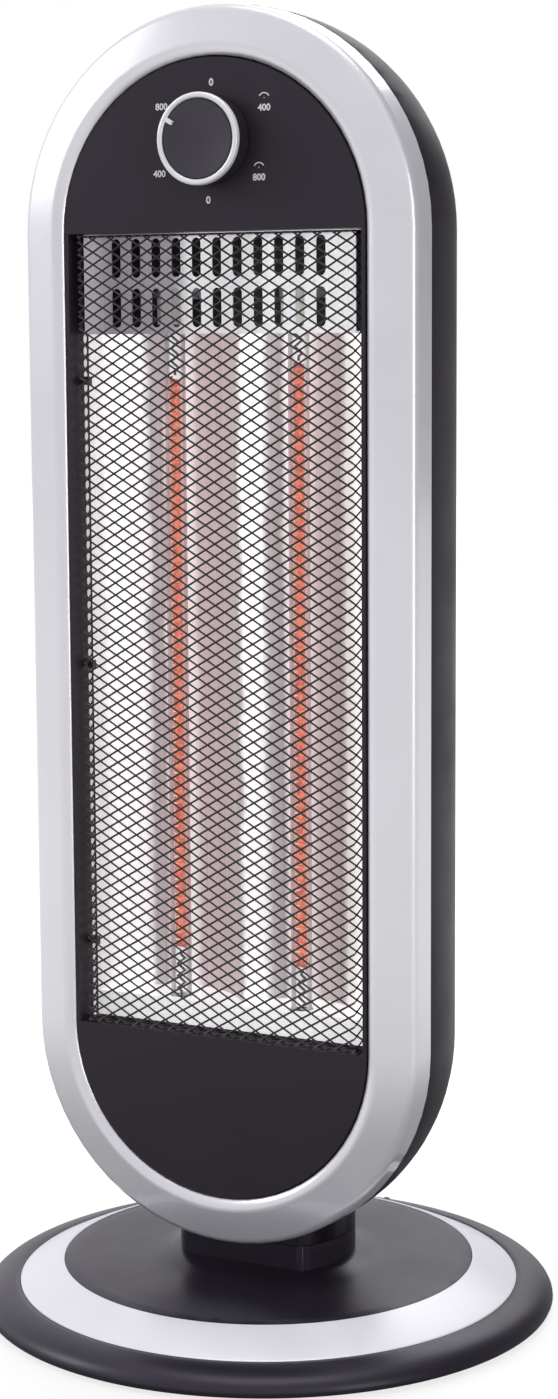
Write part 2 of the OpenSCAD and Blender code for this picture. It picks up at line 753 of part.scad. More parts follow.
module motor_bracket() {
    half = motor_ear + 5;
    color(steel) translate([0, 0, bracket_z]) difference() {
        union() {
            translate([9 - neck_d / 2, -6, 0]) cube([neck_d / 2 - 20, 12, bracket_t]);
            translate([-22, -half, 0]) cube([gear_centres + 28, 2 * half, bracket_t]);
        }
        translate([0, 0, -1]) {
            cylinder(r = post_r + 4, h = 5);
            translate([gear_centres, 0, 0]) cylinder(r = bush_r + 0.3, h = 5);
            for (p = pillars) translate([p[0], p[1], 0]) cylinder(r = screw_pass_r, h = 5);
            for (s = [-1, 1]) translate([gear_centres, s * motor_ear, 0])
                cylinder(r = screw_hole_r, h = 5);
        }
    }
}

module swing_motor() {
    color([0.72, 0.72, 0.7]) translate([gear_centres, 0, motor_z]) difference() {
        union() {
            cylinder(r = motor_d / 2, h = motor_h);
            for (s = [-1, 1]) translate([0, s * motor_ear, 0]) {
                cylinder(r = 4, h = 1);
                translate([-4, s > 0 ? -6 : 0, 0]) cube([8, 6, 1]);
            }
            translate([0, 0, -bracket_t - 1.4]) cylinder(r = bush_r, h = bracket_t + 1.4 + eps);
            translate([-motor_d / 2 - 3, -6, 3]) cube([5, 12, 9]);
        }
        for (s = [-1, 1]) translate([0, s * motor_ear, -1]) cylinder(r = screw_pass_r, h = 4);
        translate([0, 0, -bracket_t - 2]) cylinder(r = shaft_r + run_fit, h = bracket_t + 2 + 10);
    }
}

module motor_screws() {
    color(steel) {
        for (s = [-1, 1]) translate([gear_centres, s * motor_ear, motor_z + 1])
            mirror([0, 0, 1]) screw(5);
        for (p = pillars) translate([p[0], p[1], motor_z]) mirror([0, 0, 1]) screw(8);
    }
}

module drive_pinion() {
    color([0.85, 0.84, 0.8]) translate([gear_centres, 0, sector_z - 0.5]) rotate(180 / pinion_teeth)
        linear_extrude(sector_t + 1) difference() {
            polygon(gear_teeth(pinion_teeth, gear_m, 0, pinion_teeth - 1));
            circle(r = shaft_r + snug);
        }
}

module motor_shaft() {
    color(steel) translate([gear_centres, 0, sector_z - 1])
        cylinder(r = shaft_r, h = motor_z + 9 - sector_z + 1);
}

// Head shell

// The section of the rear housing's surface, set in by a distance
function rear_line(inset) = concat([[head_r - inset, band_t - seam]],
    oval_arc([back_flat_r, shoulder_t], head_r - back_flat_r - inset,
        shoulder_t + back_t - inset, 0, -90, arc_steps));

grip_wall = 2;
grip_y = knob_y - 10;
vent_top_y = grip_y - grip_h / 2 - 26;

module rear_body(inset) {
    stadium_sweep() polygon(concat(rear_line(inset), [[0, inset - back_t], [0, band_t - seam]]));
}

module rear_housing() {
    tongue_r = head_r - rear_wall - 0.2;
    color(black_gloss) difference() {
        union() {
            in_head() {
                stadium_sweep() polygon(concat(rear_line(0), [[0, -back_t], [0, rear_wall - back_t]],
                    reversed(rear_line(rear_wall))));
                stadium_sweep() polygon([[tongue_r + 0.4, band_t - 2.5], [tongue_r, band_t + tongue_h],
                    [tongue_r - 1.8, band_t + tongue_h], [tongue_r - 1.8, band_t - 2.5]]);
            }
            intersection() {
                in_head() rear_body(rear_wall / 2);
                union() {
                    in_head() at(housing_screw_places, -back_t - 1)
                        cylinder(r = well_r, h = back_t + 1 + well_floor_front);
                    at(neck_ear_places, neck_ear_top - neck_ear_t - 20)
                        cylinder(r = 5, h = 20 - face_gap);
                }
            }
        }
        in_head() {
            at(housing_screw_places, -back_t - 2)
                cylinder(r = well_hole_r, h = back_t + 2 + well_floor_front - well_floor_t);
            at(housing_screw_places, 0) cylinder(r = screw_pass_r, h = back_t);
            for (i = [0:vent_upper - 1]) translate([0, vent_top_y - i * vent_pitch, -back_t - 1])
                linear_extrude(rear_wall + 2) slot_2d(vent_w, vent_h);
            for (i = [0:vent_lower - 1])
                translate([0, -half_len + 20 + i * vent_pitch, -back_t - 1])
                    linear_extrude(rear_wall + 2) slot_2d(vent_w, vent_h);
            translate([0, grip_y, -back_t]) linear_extrude(20, center = true)
                square([grip_w + 2 * grip_wall + 0.3, grip_h + 2 * grip_wall + 0.3], center = true);
        }
        at(neck_ear_places, neck_ear_top - neck_ear_t - 6.5) cylinder(r = screw_hole_r, h = 10);
        translate([0, 0, head_bottom - 10]) linear_extrude(neck_top - head_bottom + 10 + seam)
            polygon(neck_plan(seam));
    }
}

// A moulded tray that fills the back's opening and gives the fingers a hold
module carry_grip() {
    color(charcoal) in_head() difference() {
        intersection() {
            rear_body(0);
            translate([-grip_w / 2 - grip_wall, grip_y - grip_h / 2 - grip_wall, -back_t - 1])
                cube([grip_w + 2 * grip_wall, grip_h + 2 * grip_wall, grip_depth + grip_wall + 1]);
        }
        translate([0, grip_y, -back_t - 1]) linear_extrude(grip_depth + 1) slot_2d(grip_w, grip_h);
    }
}

module housing_screws() {
    color(steel) in_head() at(housing_screw_places, well_floor_front - well_floor_t) screw(16);
}

module front_frame() {
    inner_r = front_r - frame_wall;
    profile = concat([[head_r, band_t]],
        arc([front_r - edge_round, face_t - edge_round], edge_round, 0, 80, 6),
        arc([lip_r + lip_round, lip_t - lip_round], lip_round, 90, 180, 6),
        [[lip_r, lip_t - lip_depth], [lip_r + lip_wall, lip_t - lip_depth],
        [lip_r + lip_wall, face_under(lip_r + lip_wall)], [inner_r - 2, face_under(inner_r - 2)],
        [inner_r, face_under(inner_r) - 2], [head_r - frame_wall, band_t]]);
    color(silver) in_head() difference() {
        union() {
            stadium_sweep() polygon(profile);
            at(housing_screw_places, well_floor_front + face_gap)
                cylinder(r = boss_r, h = face_under(boss_ring_r) - well_floor_front + 0.8);
            at(ear_places, panel_flange_top + face_gap)
                cylinder(r = 3.4, h = face_under(ear_ring_r) - panel_flange_top + 0.8);
        }
        at(housing_screw_places, well_floor_front) cylinder(r = screw_hole_r, h = 18);
        at(ear_places, panel_flange_top) cylinder(r = screw_hole_r,
            h = face_under(ear_ring_r) - panel_flange_top + 0.6);
    }
}

module front_panel() {
    rim_r = lip_r - panel_gap;
    profile = [[0, panel_back_t], [rim_r - panel_rim, panel_back_t],
        [rim_r - panel_rim, panel_back_flange], [panel_flange_r, panel_back_flange],
        [panel_flange_r, panel_flange_top], [rim_r, panel_flange_top], [rim_r, panel_face_t - 0.6],
        [rim_r - 0.6, panel_face_t], [0, panel_face_t]];
    color(charcoal) in_head() difference() {
        union() {
            stadium_sweep() polygon(profile);
            at(ear_places, panel_back_flange) cylinder(r = ear_r, h = panel_flange_t);
            translate([-win_x - win_wall, -win_y - win_wall, win_wall_t])
                cube([2 * (win_x + win_wall), 2 * (win_y + win_wall), window_wall_depth - 1]);
            at(rail_places, win_wall_t) cylinder(r = 3, h = panel_flange_top - win_wall_t);
            for (s = [-1, 1]) translate([s * switch_x, knob_y, switch_front_t])
                cylinder(r = switch_post_r, h = panel_back_t - switch_front_t + 0.5);
        }
        translate([-win_x, -win_y, 0]) cube([2 * win_x, 2 * win_y, lip_t]);
        translate([0, knob_y, 0]) cylinder(r = 4.7, h = lip_t);
        at(ear_places, 0) cylinder(r = screw_pass_r, h = lip_t - 2);
        at(rail_places, win_wall_t - 1) cylinder(r = screw_hole_r, h = 7);
        for (s = [-1, 1]) translate([s * switch_x, knob_y, switch_front_t - 1])
            cylinder(r = screw_hole_r, h = 8);
    }
}

module panel_screws() {
    color(steel) in_head() at(ear_places, panel_back_flange)
        screw(face_under(ear_ring_r) - panel_back_flange + 0.4);
}

// Guard grille: a shallow tray of diamond mesh

// A w by h field of diamonds with strands t wide between them, cut in half along the field's edges
module diamonds(w, h, cols, rows, t) {
    dw = w / cols;
    dh = h / rows;
    k = 1 - t * sqrt(1 / (dw * dw) + 1 / (dh * dh));
    for (i = [0:2 * cols], j = [0:2 * rows]) if ((i + j) % 2 == 1)
        translate([(i - cols) * dw / 2, (j - rows) * dh / 2]) polygon(concat(
            i < 2 * cols ? [[dw * k / 2, 0]] : [], j < 2 * rows ? [[0, dh * k / 2]] : [],
            i > 0 ? [[-dw * k / 2, 0]] : [], j > 0 ? [[0, -dh * k / 2]] : []));
}

module guard_grille() {
    open_w = 2 * (grille_x - grille_edge);
    open_h = 2 * grille_y - 2 * grille_edge;
    slope = atan(grille_splay / grille_fold);
    side_len = grille_fold / cos(slope);
    color([0.13, 0.12, 0.13]) in_head() {
        translate([0, 0, grille_face_t - grille_t]) linear_extrude(grille_t) difference() {
            square([2 * grille_x, 2 * grille_y], center = true);
            diamonds(open_w, open_h, grille_cols, grille_rows, strand_w);
        }
        for (s = [0, 1]) mirror([s, 0, 0]) {
            translate([grille_x, 0, grille_face_t]) rotate([0, 90 - slope, 0])
                translate([0, 0, -grille_t]) linear_extrude(grille_t) difference() {
                    translate([0, -grille_y]) square([side_len, 2 * grille_y]);
                    translate([side_len / 2, 0])
                        diamonds(side_len - 2 * grille_t - 1, open_h, 1, grille_rows, strand_w);
                }
            // Ears that are clamped between the window's wall and the reflector
            for (y = rail_y) difference() {
                translate([0, y - 4.5, 0]) {
                    translate([ear_x, 0, ear_t]) cube([grille_t, 9, grille_face_t - grille_fold + 1 - ear_t]);
                    translate([ear_x, 0, ear_t]) cube([rail_outer_x - ear_x, 9, grille_t]);
                }
                translate([rail_x, y, 0]) cylinder(r = screw_pass_r, h = face_t);
            }
        }
        translate([-grille_x, grille_t - grille_y, grille_face_t]) rotate([90, 0, 0])
            linear_extrude(grille_t) mirror([0, 1]) bottom_fold(grille_fold);
        translate([-grille_x, grille_y - grille_t, grille_face_t - grille_lip])
            cube([2 * grille_x, grille_t, grille_lip]);
    }
}

// The grille's bottom fold, with one row of half-height openings
module bottom_fold(len) {
    pitch = 2 * (grille_x - grille_edge) / grille_cols;
    difference() {
        square([2 * grille_x, len]);
        translate([grille_x, len / 2]) for (i = [0:grille_cols - 1])
            translate([(i - (grille_cols - 1) / 2) * pitch, 0])
                square([pitch - 2 * strand_w, len - 5], center = true);
    }
}

// Reflector and its plates

function refl_t(x) = x < refl_edge_x ? trough_t + refl_k * pow(x - tube_x, 2) : flange_front;

module reflector() {
    xs = [for (i = [0:refl_steps * 2]) refl_edge_x * i / (refl_steps * 2)];
    front = concat([for (x = xs) [x, trough_t + refl_k * pow(x - tube_x, 2)]],
        [[rail_outer_x, flange_front]]);
    back = concat([[rail_outer_x, flange_front - sheet_t],
        [refl_edge_x + sheet_t, flange_front - sheet_t]],
        [for (i = [len(xs) - 1:-1:0]) let (x = xs[i], m = 2 * refl_k * (x - tube_x))
            [x + (x == 0 ? 0 : sheet_t * m / sqrt(1 + m * m)),
            trough_t + refl_k * pow(x - tube_x, 2) - sheet_t / sqrt(1 + m * m)]]);
    top = ledge_y - face_gap;
    bottom = strip_top_y + sheet_t + face_gap;
    color(bright) in_head() difference() {
        for (s = [0, 1]) mirror([s, 0, 0]) translate([0, top, 0]) rotate([90, 0, 0])
            linear_extrude(top - bottom) polygon(concat(front, back));
        at(rail_places, 0) cylinder(r = screw_pass_r, h = face_t);
    }
}

module top_plate() {
    back_edge = trough_t - 4;
    top = win_y - 0.3;
    ledge_w = shield_x - shield_t - face_gap;
    color(bright) in_head() difference() {
        union() {
            translate([-plate_half_w, 0, 0]) rotate([90, 0, 90]) linear_extrude(2 * plate_half_w)
                polygon([[ledge_y, back_edge], [ledge_y, top_plate_t], [top, top_plate_t],
                    [top, win_wall_t], [top - sheet_t, win_wall_t],
                    [top - sheet_t, top_plate_t - sheet_t],
                    [ledge_y + sheet_t, top_plate_t - sheet_t], [ledge_y + sheet_t, back_edge]]);
            translate([-ledge_w, ledge_y, back_edge])
                cube([2 * ledge_w, sheet_t, flange_front - sheet_t - 0.2 - back_edge]);
        }
        for (row = [0, 1], i = [0:slot_count - 1])
            translate([(i - (slot_count - 1) / 2) * slot_pitch, win_y - 2.5 - slot_h / 2 - row * slot_rows, 0])
                linear_extrude(face_t) slot_2d(slot_w, slot_h);
        for (s = [-1, 1]) translate([s * tube_x, ledge_y - 1, tube_t]) rotate([-90, 0, 0])
            cylinder(r = tube_r + 1, h = 4);
    }
}

module bottom_plate() {
    back_edge = trough_t - 4;
    foot_t = win_wall_t - 0.1;
    top_t = foot_t - bottom_strip_lean;
    half = shield_x - shield_t - face_gap;
    color(bright) in_head() difference() {
        translate([-half, 0, 0]) rotate([90, 0, 90]) linear_extrude(2 * half)
            polygon([[floor_y, foot_t], [strip_top_y + sheet_t, top_t], [strip_top_y + sheet_t, back_edge],
                [strip_top_y, back_edge], [strip_top_y, top_t - sheet_t], [floor_y, foot_t - sheet_t]]);
        for (s = [-1, 1]) translate([s * tube_x, strip_top_y - 1, tube_t]) rotate([-90, 0, 0])
            cylinder(r = tube_r + 1, h = 4);
    }
}

module heat_shield() {
    flange_t0 = flange_front - sheet_t - face_gap / 2;
    profile = [[0, shield_back_t], [shield_x, shield_back_t], [shield_x, flange_t0 - shield_t],
        [rail_outer_x, flange_t0 - shield_t], [rail_outer_x, flange_t0],
        [shield_x - shield_t, flange_t0], [shield_x - shield_t, shield_back_t + shield_t],
        [0, shield_back_t + shield_t]];
    color([0.7, 0.71, 0.72]) in_head() difference() {
        for (s = [0, 1]) mirror([s, 0, 0]) translate([0, win_y - 1, 0]) rotate([90, 0, 0])
            linear_extrude(win_y - 1 - shield_low_y) polygon(profile);
        at(rail_places, 0) cylinder(r = screw_pass_r, h = face_t);
        translate([-rail_outer_x - 1, shield_low_y - 1, flange_t0 - shield_t - 1])
            cube([2 * rail_outer_x + 2, -win_y - shield_low_y + 4, 10]);
        for (i = [-1, 0, 1], y = [-60, 60]) translate([i * 40, y, 0])
            linear_extrude(20, center = true) slot_2d(24, 4);
    }
}

module reflector_screws() {
    seat = flange_front - sheet_t - face_gap / 2 - shield_t;
    color(steel) in_head() at(rail_places, seat) screw(7);
}

// Heating tubes

module quartz_tube(side) {
    color([0.9, 0.9, 0.92, 0.4]) in_head() translate([side * tube_x, tube_low_y, tube_t])
        rotate([-90, 0, 0]) ring(tube_r, tube_r - tube_wall, tube_top_y - tube_low_y);
}

module quartz_tube_left() {
    quartz_tube(-1);
}

module quartz_tube_right() {
    quartz_tube(1);
}

// The carbon strip, twisted along its length
module filament(side) {
    glow_len = glow_top_y(side) - glow_low_y(side);
    turns = glow_len / strip_turn;
    color([1, 0.35, 0.12]) in_head() translate([side * tube_x, glow_low_y(side), tube_t])
        rotate([-90, 0, 0]) linear_extrude(glow_len, twist = 360 * turns, slices = round(turns * 6), $fn = 4)
            square([strip_w, strip_t], center = true);
}

module filament_left() {
    filament(-1);
}

module filament_right() {
    filament(1);
}

// A wire of width w laid flat through the points, round at each bend
module flat_wire(points, w) {
    for (i = [0:len(points) - 2]) let (d = points[i + 1] - points[i])
        translate(points[i]) rotate(atan2(d[1], d[0])) translate([0, -w / 2]) square([norm(d), w]);
    for (i = [1:len(points) - 2]) translate(points[i]) circle(d = w, $fn = 16);
}

// Lead wires with a zigzag that takes up the strip's growth
module tube_leads() {
    color([0.55, 0.52, 0.5]) in_head() for (s = [-1, 1], end = [0, 1])
        translate([s * tube_x, end ? glow_top_y(s) + 0.2 : glow_low_y(s) - 0.2, tube_t - lead_w / 2]) {
            len = end ? top_cap_y + cap_len + 6 - glow_top_y(s) : glow_low_y(s) - bottom_cap_y + 6;
            mirror([0, 1 - end, 0]) linear_extrude(lead_w) flat_wire(concat([[0, 0], [0, 2]],
                [for (i = [0:5]) [(i % 2 ? -1 : 1) * lead_swing, 3.5 + 3 * i]], [[0, 20], [0, len]]),
                lead_w);
        }
}

module cap() {
    difference() {
        cylinder(r = cap_r, h = cap_len);
        translate([0, 0, -1]) cylinder(r = tube_r + 0.1, h = cap_grip + 1.1);
        cylinder(r = lead_w * 0.8, h = cap_len + 1);
    }
}

module ceramic_caps() {
    color([0.93, 0.91, 0.86]) in_head() for (s = [-1, 1]) {
        translate([s * tube_x, top_cap_y, tube_t]) rotate([-90, 0, 0]) cap();
        translate([s * tube_x, bottom_cap_y + cap_len, tube_t]) rotate([90, 0, 0]) cap();
    }
}

// Spring clips that carry the ceramic caps off the heat shield
module tube_clips() {
    foot_t = shield_back_t + shield_t;
    color(steel) in_head() for (s = [-1, 1], y = [top_cap_y + 12, bottom_cap_y + 10])
        translate([s * tube_x, y, tube_t]) rotate([-90, 0, 0]) {
            ring(cap_r + snug + clip_t, cap_r + snug, clip_w);
            translate([-clip_t / 2, cap_r + snug + clip_t / 2, 0])
                cube([clip_t, tube_t - foot_t - cap_r - clip_t / 2 - 1.2, clip_w]);
            translate([-5, tube_t - foot_t - 0.05 - clip_t, 0]) cube([10, clip_t, clip_w]);
        }
}

module thermal_cutout() {
    color([0.75, 0.74, 0.7]) in_head() translate([0, ledge_y - 30, shield_back_t - 0.05])
        mirror([0, 0, 1]) {
            cylinder(r = 8, h = 5);
            translate([-15, -4, 0]) cube([30, 8, 0.8]);
            for (s = [-1, 1]) translate([s * 4 - 0.4, -3, 4]) cube([0.8, 6, 8]);
        }
}

// Control

module rotary_switch() {
    color([0.88, 0.87, 0.82]) in_head() translate([0, knob_y, 0]) difference() {
        union() {
            translate([-switch_x - 5, -8, switch_front_t - 1.3]) cube([2 * switch_x + 10, 16, 1.2]);
            translate([-switch_size / 2, -switch_size / 2, switch_front_t - 1.3 - switch_depth])
                cube([switch_size, switch_size, switch_depth]);
            translate([0, 0, switch_front_t - 1.3])
                cylinder(r = 4.5, h = panel_face_t - switch_front_t + 1);
            for (a = [0:60:300]) rotate(a)
                translate([10, -0.4, switch_front_t - 1.3 - switch_depth - 7]) cube([3, 0.8, 8]);
        }
        translate([0, 0, switch_front_t - 1.3 - switch_depth + 4])
            cylinder(r = spindle_r + run_fit, h = 60);
        for (s = [-1, 1]) translate([s * switch_x, 0, 0]) cylinder(r = screw_pass_r, h = 60);
    }
}

module switch_screws() {
    color(steel) in_head() for (s = [-1, 1])
        translate([s * switch_x, knob_y, switch_front_t - 1.3]) screw(7);
}

module switch_spindle() {
    start = switch_front_t - 1.3 - switch_depth + 5;
    color(bright) in_head() translate([0, knob_y, start])
        cylinder(r = spindle_r, h = knob_back_t + 6.5 - start);
}

// The pointer bar and the groove that takes it, from the ring inwards
module pointer(grow) {
    rotate(pointer_angle) translate([knob_r * 0.7 - grow, -1 - grow, knob_h - 2.6 - grow])
        cube([knob_r * 0.3 - knob_ring_w + 0.4 + grow, 2 + 2 * grow, 2.6]);
}

module knob() {
    grip_r = knob_r - 0.5;
    seat_r = knob_r - knob_ring_w;
    color([0.09, 0.085, 0.09]) in_head() translate([0, knob_y, knob_back_t]) difference() {
        rotate_extrude($fn = 72) polygon(concat(
            [[spindle_r + snug, 0], [5.6, 0], [5.6, knob_h - 5], [grip_r - knob_wall, knob_h - 5],
            [grip_r - knob_wall, 0], [grip_r, 0], [grip_r, knob_h - 2.8], [seat_r - 0.1, knob_h - 2.8],
            [seat_r - 0.1, knob_h - 0.9]],
            [for (i = [1:5]) let (u = i / 5) [seat_r * (1 - u), knob_h - 0.9 - 1.6 * sin(90 * u)]],
            [[0, 7], [spindle_r + snug, 7]]));
        pointer(0.05);
    }
}

module knob_ring() {
    ring_r = knob_ring_w / 2;
    color([0.93, 0.93, 0.93]) in_head() translate([0, knob_y, knob_back_t]) {
        rotate_extrude($fn = 72) translate([knob_r - ring_r, 0]) polygon(concat(
            [[ring_r, knob_h - 2.7]], oval_arc([0, knob_h - 1.2], ring_r, 1.2, 0, 180, 8),
            [[-ring_r, knob_h - 2.7]]));
        pointer(0);
    }
}

base_shell();
base_trim_ring();
base_plate();
rubber_feet();
base_screws();
cord_gland();
terminal_block();
tip_switch();
base_collar();
collar_screws();
pivot_post();
slip_washer();
retaining_ring();
drive_sector();
post_nut();
tip_plunger();
tip_spring();
neck();
neck_screws();
motor_bracket();
swing_motor();
motor_screws();
drive_pinion();
motor_shaft();
rear_housing();
carry_grip();
housing_screws();
front_frame();
front_panel();
panel_screws();
guard_grille();
reflector();
top_plate();
bottom_plate();
heat_shield();
reflector_screws();
quartz_tube_left();
quartz_tube_right();
filament_left();
filament_right();
tube_leads();
ceramic_caps();
tube_clips();
thermal_cutout();
rotary_switch();
switch_screws();
switch_spindle();
knob();
knob_ring();
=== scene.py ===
"""Looks of the carbon heater: finishes, guard mesh, dial marks, lights and camera."""

import json
import math

import bmesh
import bpy
from mathutils import Matrix, Vector

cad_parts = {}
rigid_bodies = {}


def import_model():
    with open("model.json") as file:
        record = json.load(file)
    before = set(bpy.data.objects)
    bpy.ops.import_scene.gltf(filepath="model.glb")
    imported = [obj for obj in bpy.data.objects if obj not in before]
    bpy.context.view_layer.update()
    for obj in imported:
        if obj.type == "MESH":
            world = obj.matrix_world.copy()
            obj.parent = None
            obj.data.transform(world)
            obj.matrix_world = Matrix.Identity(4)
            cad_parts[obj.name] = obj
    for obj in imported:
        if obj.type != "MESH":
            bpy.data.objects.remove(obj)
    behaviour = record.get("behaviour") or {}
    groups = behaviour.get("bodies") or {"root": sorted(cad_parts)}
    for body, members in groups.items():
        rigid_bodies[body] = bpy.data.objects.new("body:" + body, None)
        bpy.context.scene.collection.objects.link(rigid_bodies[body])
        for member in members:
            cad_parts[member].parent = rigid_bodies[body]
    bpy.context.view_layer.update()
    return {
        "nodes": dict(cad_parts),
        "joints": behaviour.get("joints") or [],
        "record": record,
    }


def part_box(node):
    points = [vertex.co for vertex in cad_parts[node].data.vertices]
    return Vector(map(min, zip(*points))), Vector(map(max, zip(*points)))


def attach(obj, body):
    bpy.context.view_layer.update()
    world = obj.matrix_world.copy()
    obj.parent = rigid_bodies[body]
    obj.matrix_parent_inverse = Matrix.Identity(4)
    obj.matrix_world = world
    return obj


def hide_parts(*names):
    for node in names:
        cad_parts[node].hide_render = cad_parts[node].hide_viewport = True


bl_info = {
    "name": "Carbon heater",
    "version": (1, 0, 0),
    "blender": (4, 5, 0),
    "location": "3D View > Sidebar > Heater",
    "description": "Dresses the heater's solids with finishes, guard mesh, dial marks and a studio",
    "category": "Object",
}

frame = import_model()

X, Y, Z = 0, 1, 2
FRAME_LOW, FRAME_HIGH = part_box("front_frame")
FRAME_SIZE = [high - low for low, high in zip(FRAME_LOW, FRAME_HIGH)]
HEAD_Z = (FRAME_LOW[Z] + FRAME_HIGH[Z]) / 2  # middle of the head above the floor
HALF_LEN = (FRAME_SIZE[Z] - FRAME_SIZE[X]) / 2  # half the straight part of the head's oval
FACE_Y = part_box("front_panel")[0][Y]  # face of the charcoal panel
GUARD_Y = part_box("guard_grille")[0][Y]  # face of the guard
KNOB_Z = next(joint["pos_m"][Z] for joint in frame["joints"] if joint["name"] == "knob_turn")
HALF_WINDOW = 0.0755  # half the window's width
PRINT = 0.0001  # thickness of the dial's print

# How far two faces may turn, in degrees, before the edge between them stays sharp
SMOOTH_NODES = {
    "base_shell": 28, "base_trim_ring": 28, "base_collar": 28, "neck": 28, "rear_housing": 24,
    "carry_grip": 28, "front_panel": 28, "knob": 24, "knob_ring": 30,
    "rubber_feet": 28, "reflector": 20, "quartz_tube_left": 40, "quartz_tube_right": 40,
    "ceramic_caps": 40,
}


# Shared helpers


def strip_place(side):
    """Where a carbon strip stands: its x and y, its bottom and its top."""
    low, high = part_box("filament_" + side)
    return (low[X] + high[X]) / 2, (low[Y] + high[Y]) / 2, low[Z], high[Z]


def body_of(node):
    """The body that a node of the solids rides on."""
    for body, members in frame["record"]["behaviour"]["bodies"].items():
        if node in members:
            return body
    raise ValueError("no body holds " + node)


def add_piece(name, bm, body, materials=(), smooth=None):
    """Makes an object of a finished bmesh, gives it its materials and lets it ride on a body."""
    mesh = bpy.data.meshes.new(name)
    bm.to_mesh(mesh)
    bm.free()
    for material in materials:
        mesh.materials.append(material)
    piece = bpy.data.objects.new(name, mesh)
    bpy.context.scene.collection.objects.link(piece)
    if smooth is not None:
        for polygon in mesh.polygons:
            polygon.use_smooth = True
        mesh.set_sharp_from_angle(angle=math.radians(smooth))
    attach(piece, body)
    return piece


def dress(node, material):
    """Gives a node of the solids one material."""
    obj = frame["nodes"][node]
    obj.data.materials.clear()
    obj.data.materials.append(material)


def join_box(bm, low, high):
    """Adds a box between two corners."""
    low, high = Vector(low), Vector(high)
    made = bmesh.ops.create_cube(bm, size=1.0)
    bmesh.ops.scale(bm, vec=high - low, verts=made["verts"])
    bmesh.ops.translate(bm, vec=(high + low) / 2, verts=made["verts"])


def cut(bm, axis, place, **settings):
    """Cuts a mesh across one axis; clear_outer drops what lies beyond the cut."""
    spot, outward = Vector((0, 0, 0)), Vector((0, 0, 0))
    spot[axis] = place
    outward[axis] = math.copysign(1, place)
    bmesh.ops.bisect_plane(bm, geom=bm.verts[:] + bm.edges[:] + bm.faces[:], plane_co=spot,
                           plane_no=outward, **settings)


def arc_points(center, radius, start, end, steps):
    """Points of an arc in a profile, angles in degrees."""
    angles = [math.radians(start + (end - start) * i / steps) for i in range(steps + 1)]
    return [(center[0] + radius * math.cos(a), center[1] + radius * math.sin(a)) for a in angles]


def oval_sweep(profile, steps=32):
    """Carries a closed profile of (distance from the oval's spine, height) in mm round the head's oval."""
    bm = bmesh.new()
    verts = [bm.verts.new((r / 1000, -HALF_LEN, t / 1000)) for r, t in profile]
    edges = [bm.edges.new((verts[i - 1], verts[i])) for i in range(len(verts))]
    for side in (1, -1):
        made = bmesh.ops.extrude_edge_only(bm, edges=edges)["geom"]
        moved = [g for g in made if isinstance(g, bmesh.types.BMVert)]
        bmesh.ops.translate(bm, vec=(0, side * 2 * HALF_LEN, 0), verts=moved)
        edges = [g for g in made if isinstance(g, bmesh.types.BMEdge) and all(v in moved for v in g.verts)]
        turned = bmesh.ops.spin(bm, geom=moved + edges, cent=(0, side * HALF_LEN, 0), axis=(0, 0, 1),
                                angle=math.pi, steps=steps, use_merge=False)["geom_last"]
        edges = [g for g in turned if isinstance(g, bmesh.types.BMEdge)]
    bmesh.ops.remove_doubles(bm, verts=bm.verts, dist=1e-6)
    bmesh.ops.recalc_face_normals(bm, faces=bm.faces)
    bmesh.ops.rotate(bm, cent=(0, 0, 0), matrix=Matrix.Rotation(math.pi / 2, 3, "X"), verts=bm.verts)
    bmesh.ops.translate(bm, vec=(0, 0, HEAD_Z), verts=bm.verts)
    return bm


# Materials


# A Mix node's two inputs and its output, for each kind of value
MIX_SOCKETS = {"FLOAT": (2, 3, 0), "RGBA": (6, 7, 2)}


class Nodes:
    """A short way to write a node tree."""

    def __init__(self, tree):
        self.tree = tree

    def fill(self, node, inputs):
        """Links or sets a node's inputs."""
        for key, value in inputs.items():
            if isinstance(value, bpy.types.NodeSocket):
                self.tree.links.new(value, node.inputs[key])
            else:
                node.inputs[key].default_value = value
        return node

    def add(self, kind, inputs=None, **settings):
        """Adds a node with its settings and inputs."""
        node = self.tree.nodes.new(kind)
        for key, value in settings.items():
            setattr(node, key, value)
        return self.fill(node, inputs or {})

    def math(self, operation, *values, **settings):
        """The result of a Math node."""
        node = self.add("ShaderNodeMath", dict(enumerate(values)), operation=operation, **settings)
        return node.outputs[0]

    def remap(self, value, low, high, start, end, **settings):
        """A value mapped from the range low to high to the range start to end, and held beyond it."""
        inputs = {"Value": value, "From Min": low, "From Max": high, "To Min": start, "To Max": end}
        return self.add("ShaderNodeMapRange", inputs, **settings).outputs["Result"]

    def mix(self, factor, first, second, data_type="FLOAT"):
        """The result of a Mix node, of two numbers or of two colours."""
        a, b, result = MIX_SOCKETS[data_type]
        node = self.add("ShaderNodeMix", {"Factor": factor, a: first, b: second}, data_type=data_type)
        return node.outputs[result]

    def noise(self, where, scale, detail):
        """The level of a noise texture."""
        inputs = {"Vector": where, "Scale": scale, "Detail": detail}
        return self.add("ShaderNodeTexNoise", inputs).outputs["Fac"]


def rgba(color):
    return (color[0], color[1], color[2], 1.0)


def new_material(name):
    """A new material, the writer of its nodes and its shader."""
    material = bpy.data.materials.new(name)
    material.use_nodes = True
    return material, Nodes(material.node_tree), material.node_tree.nodes["Principled BSDF"]


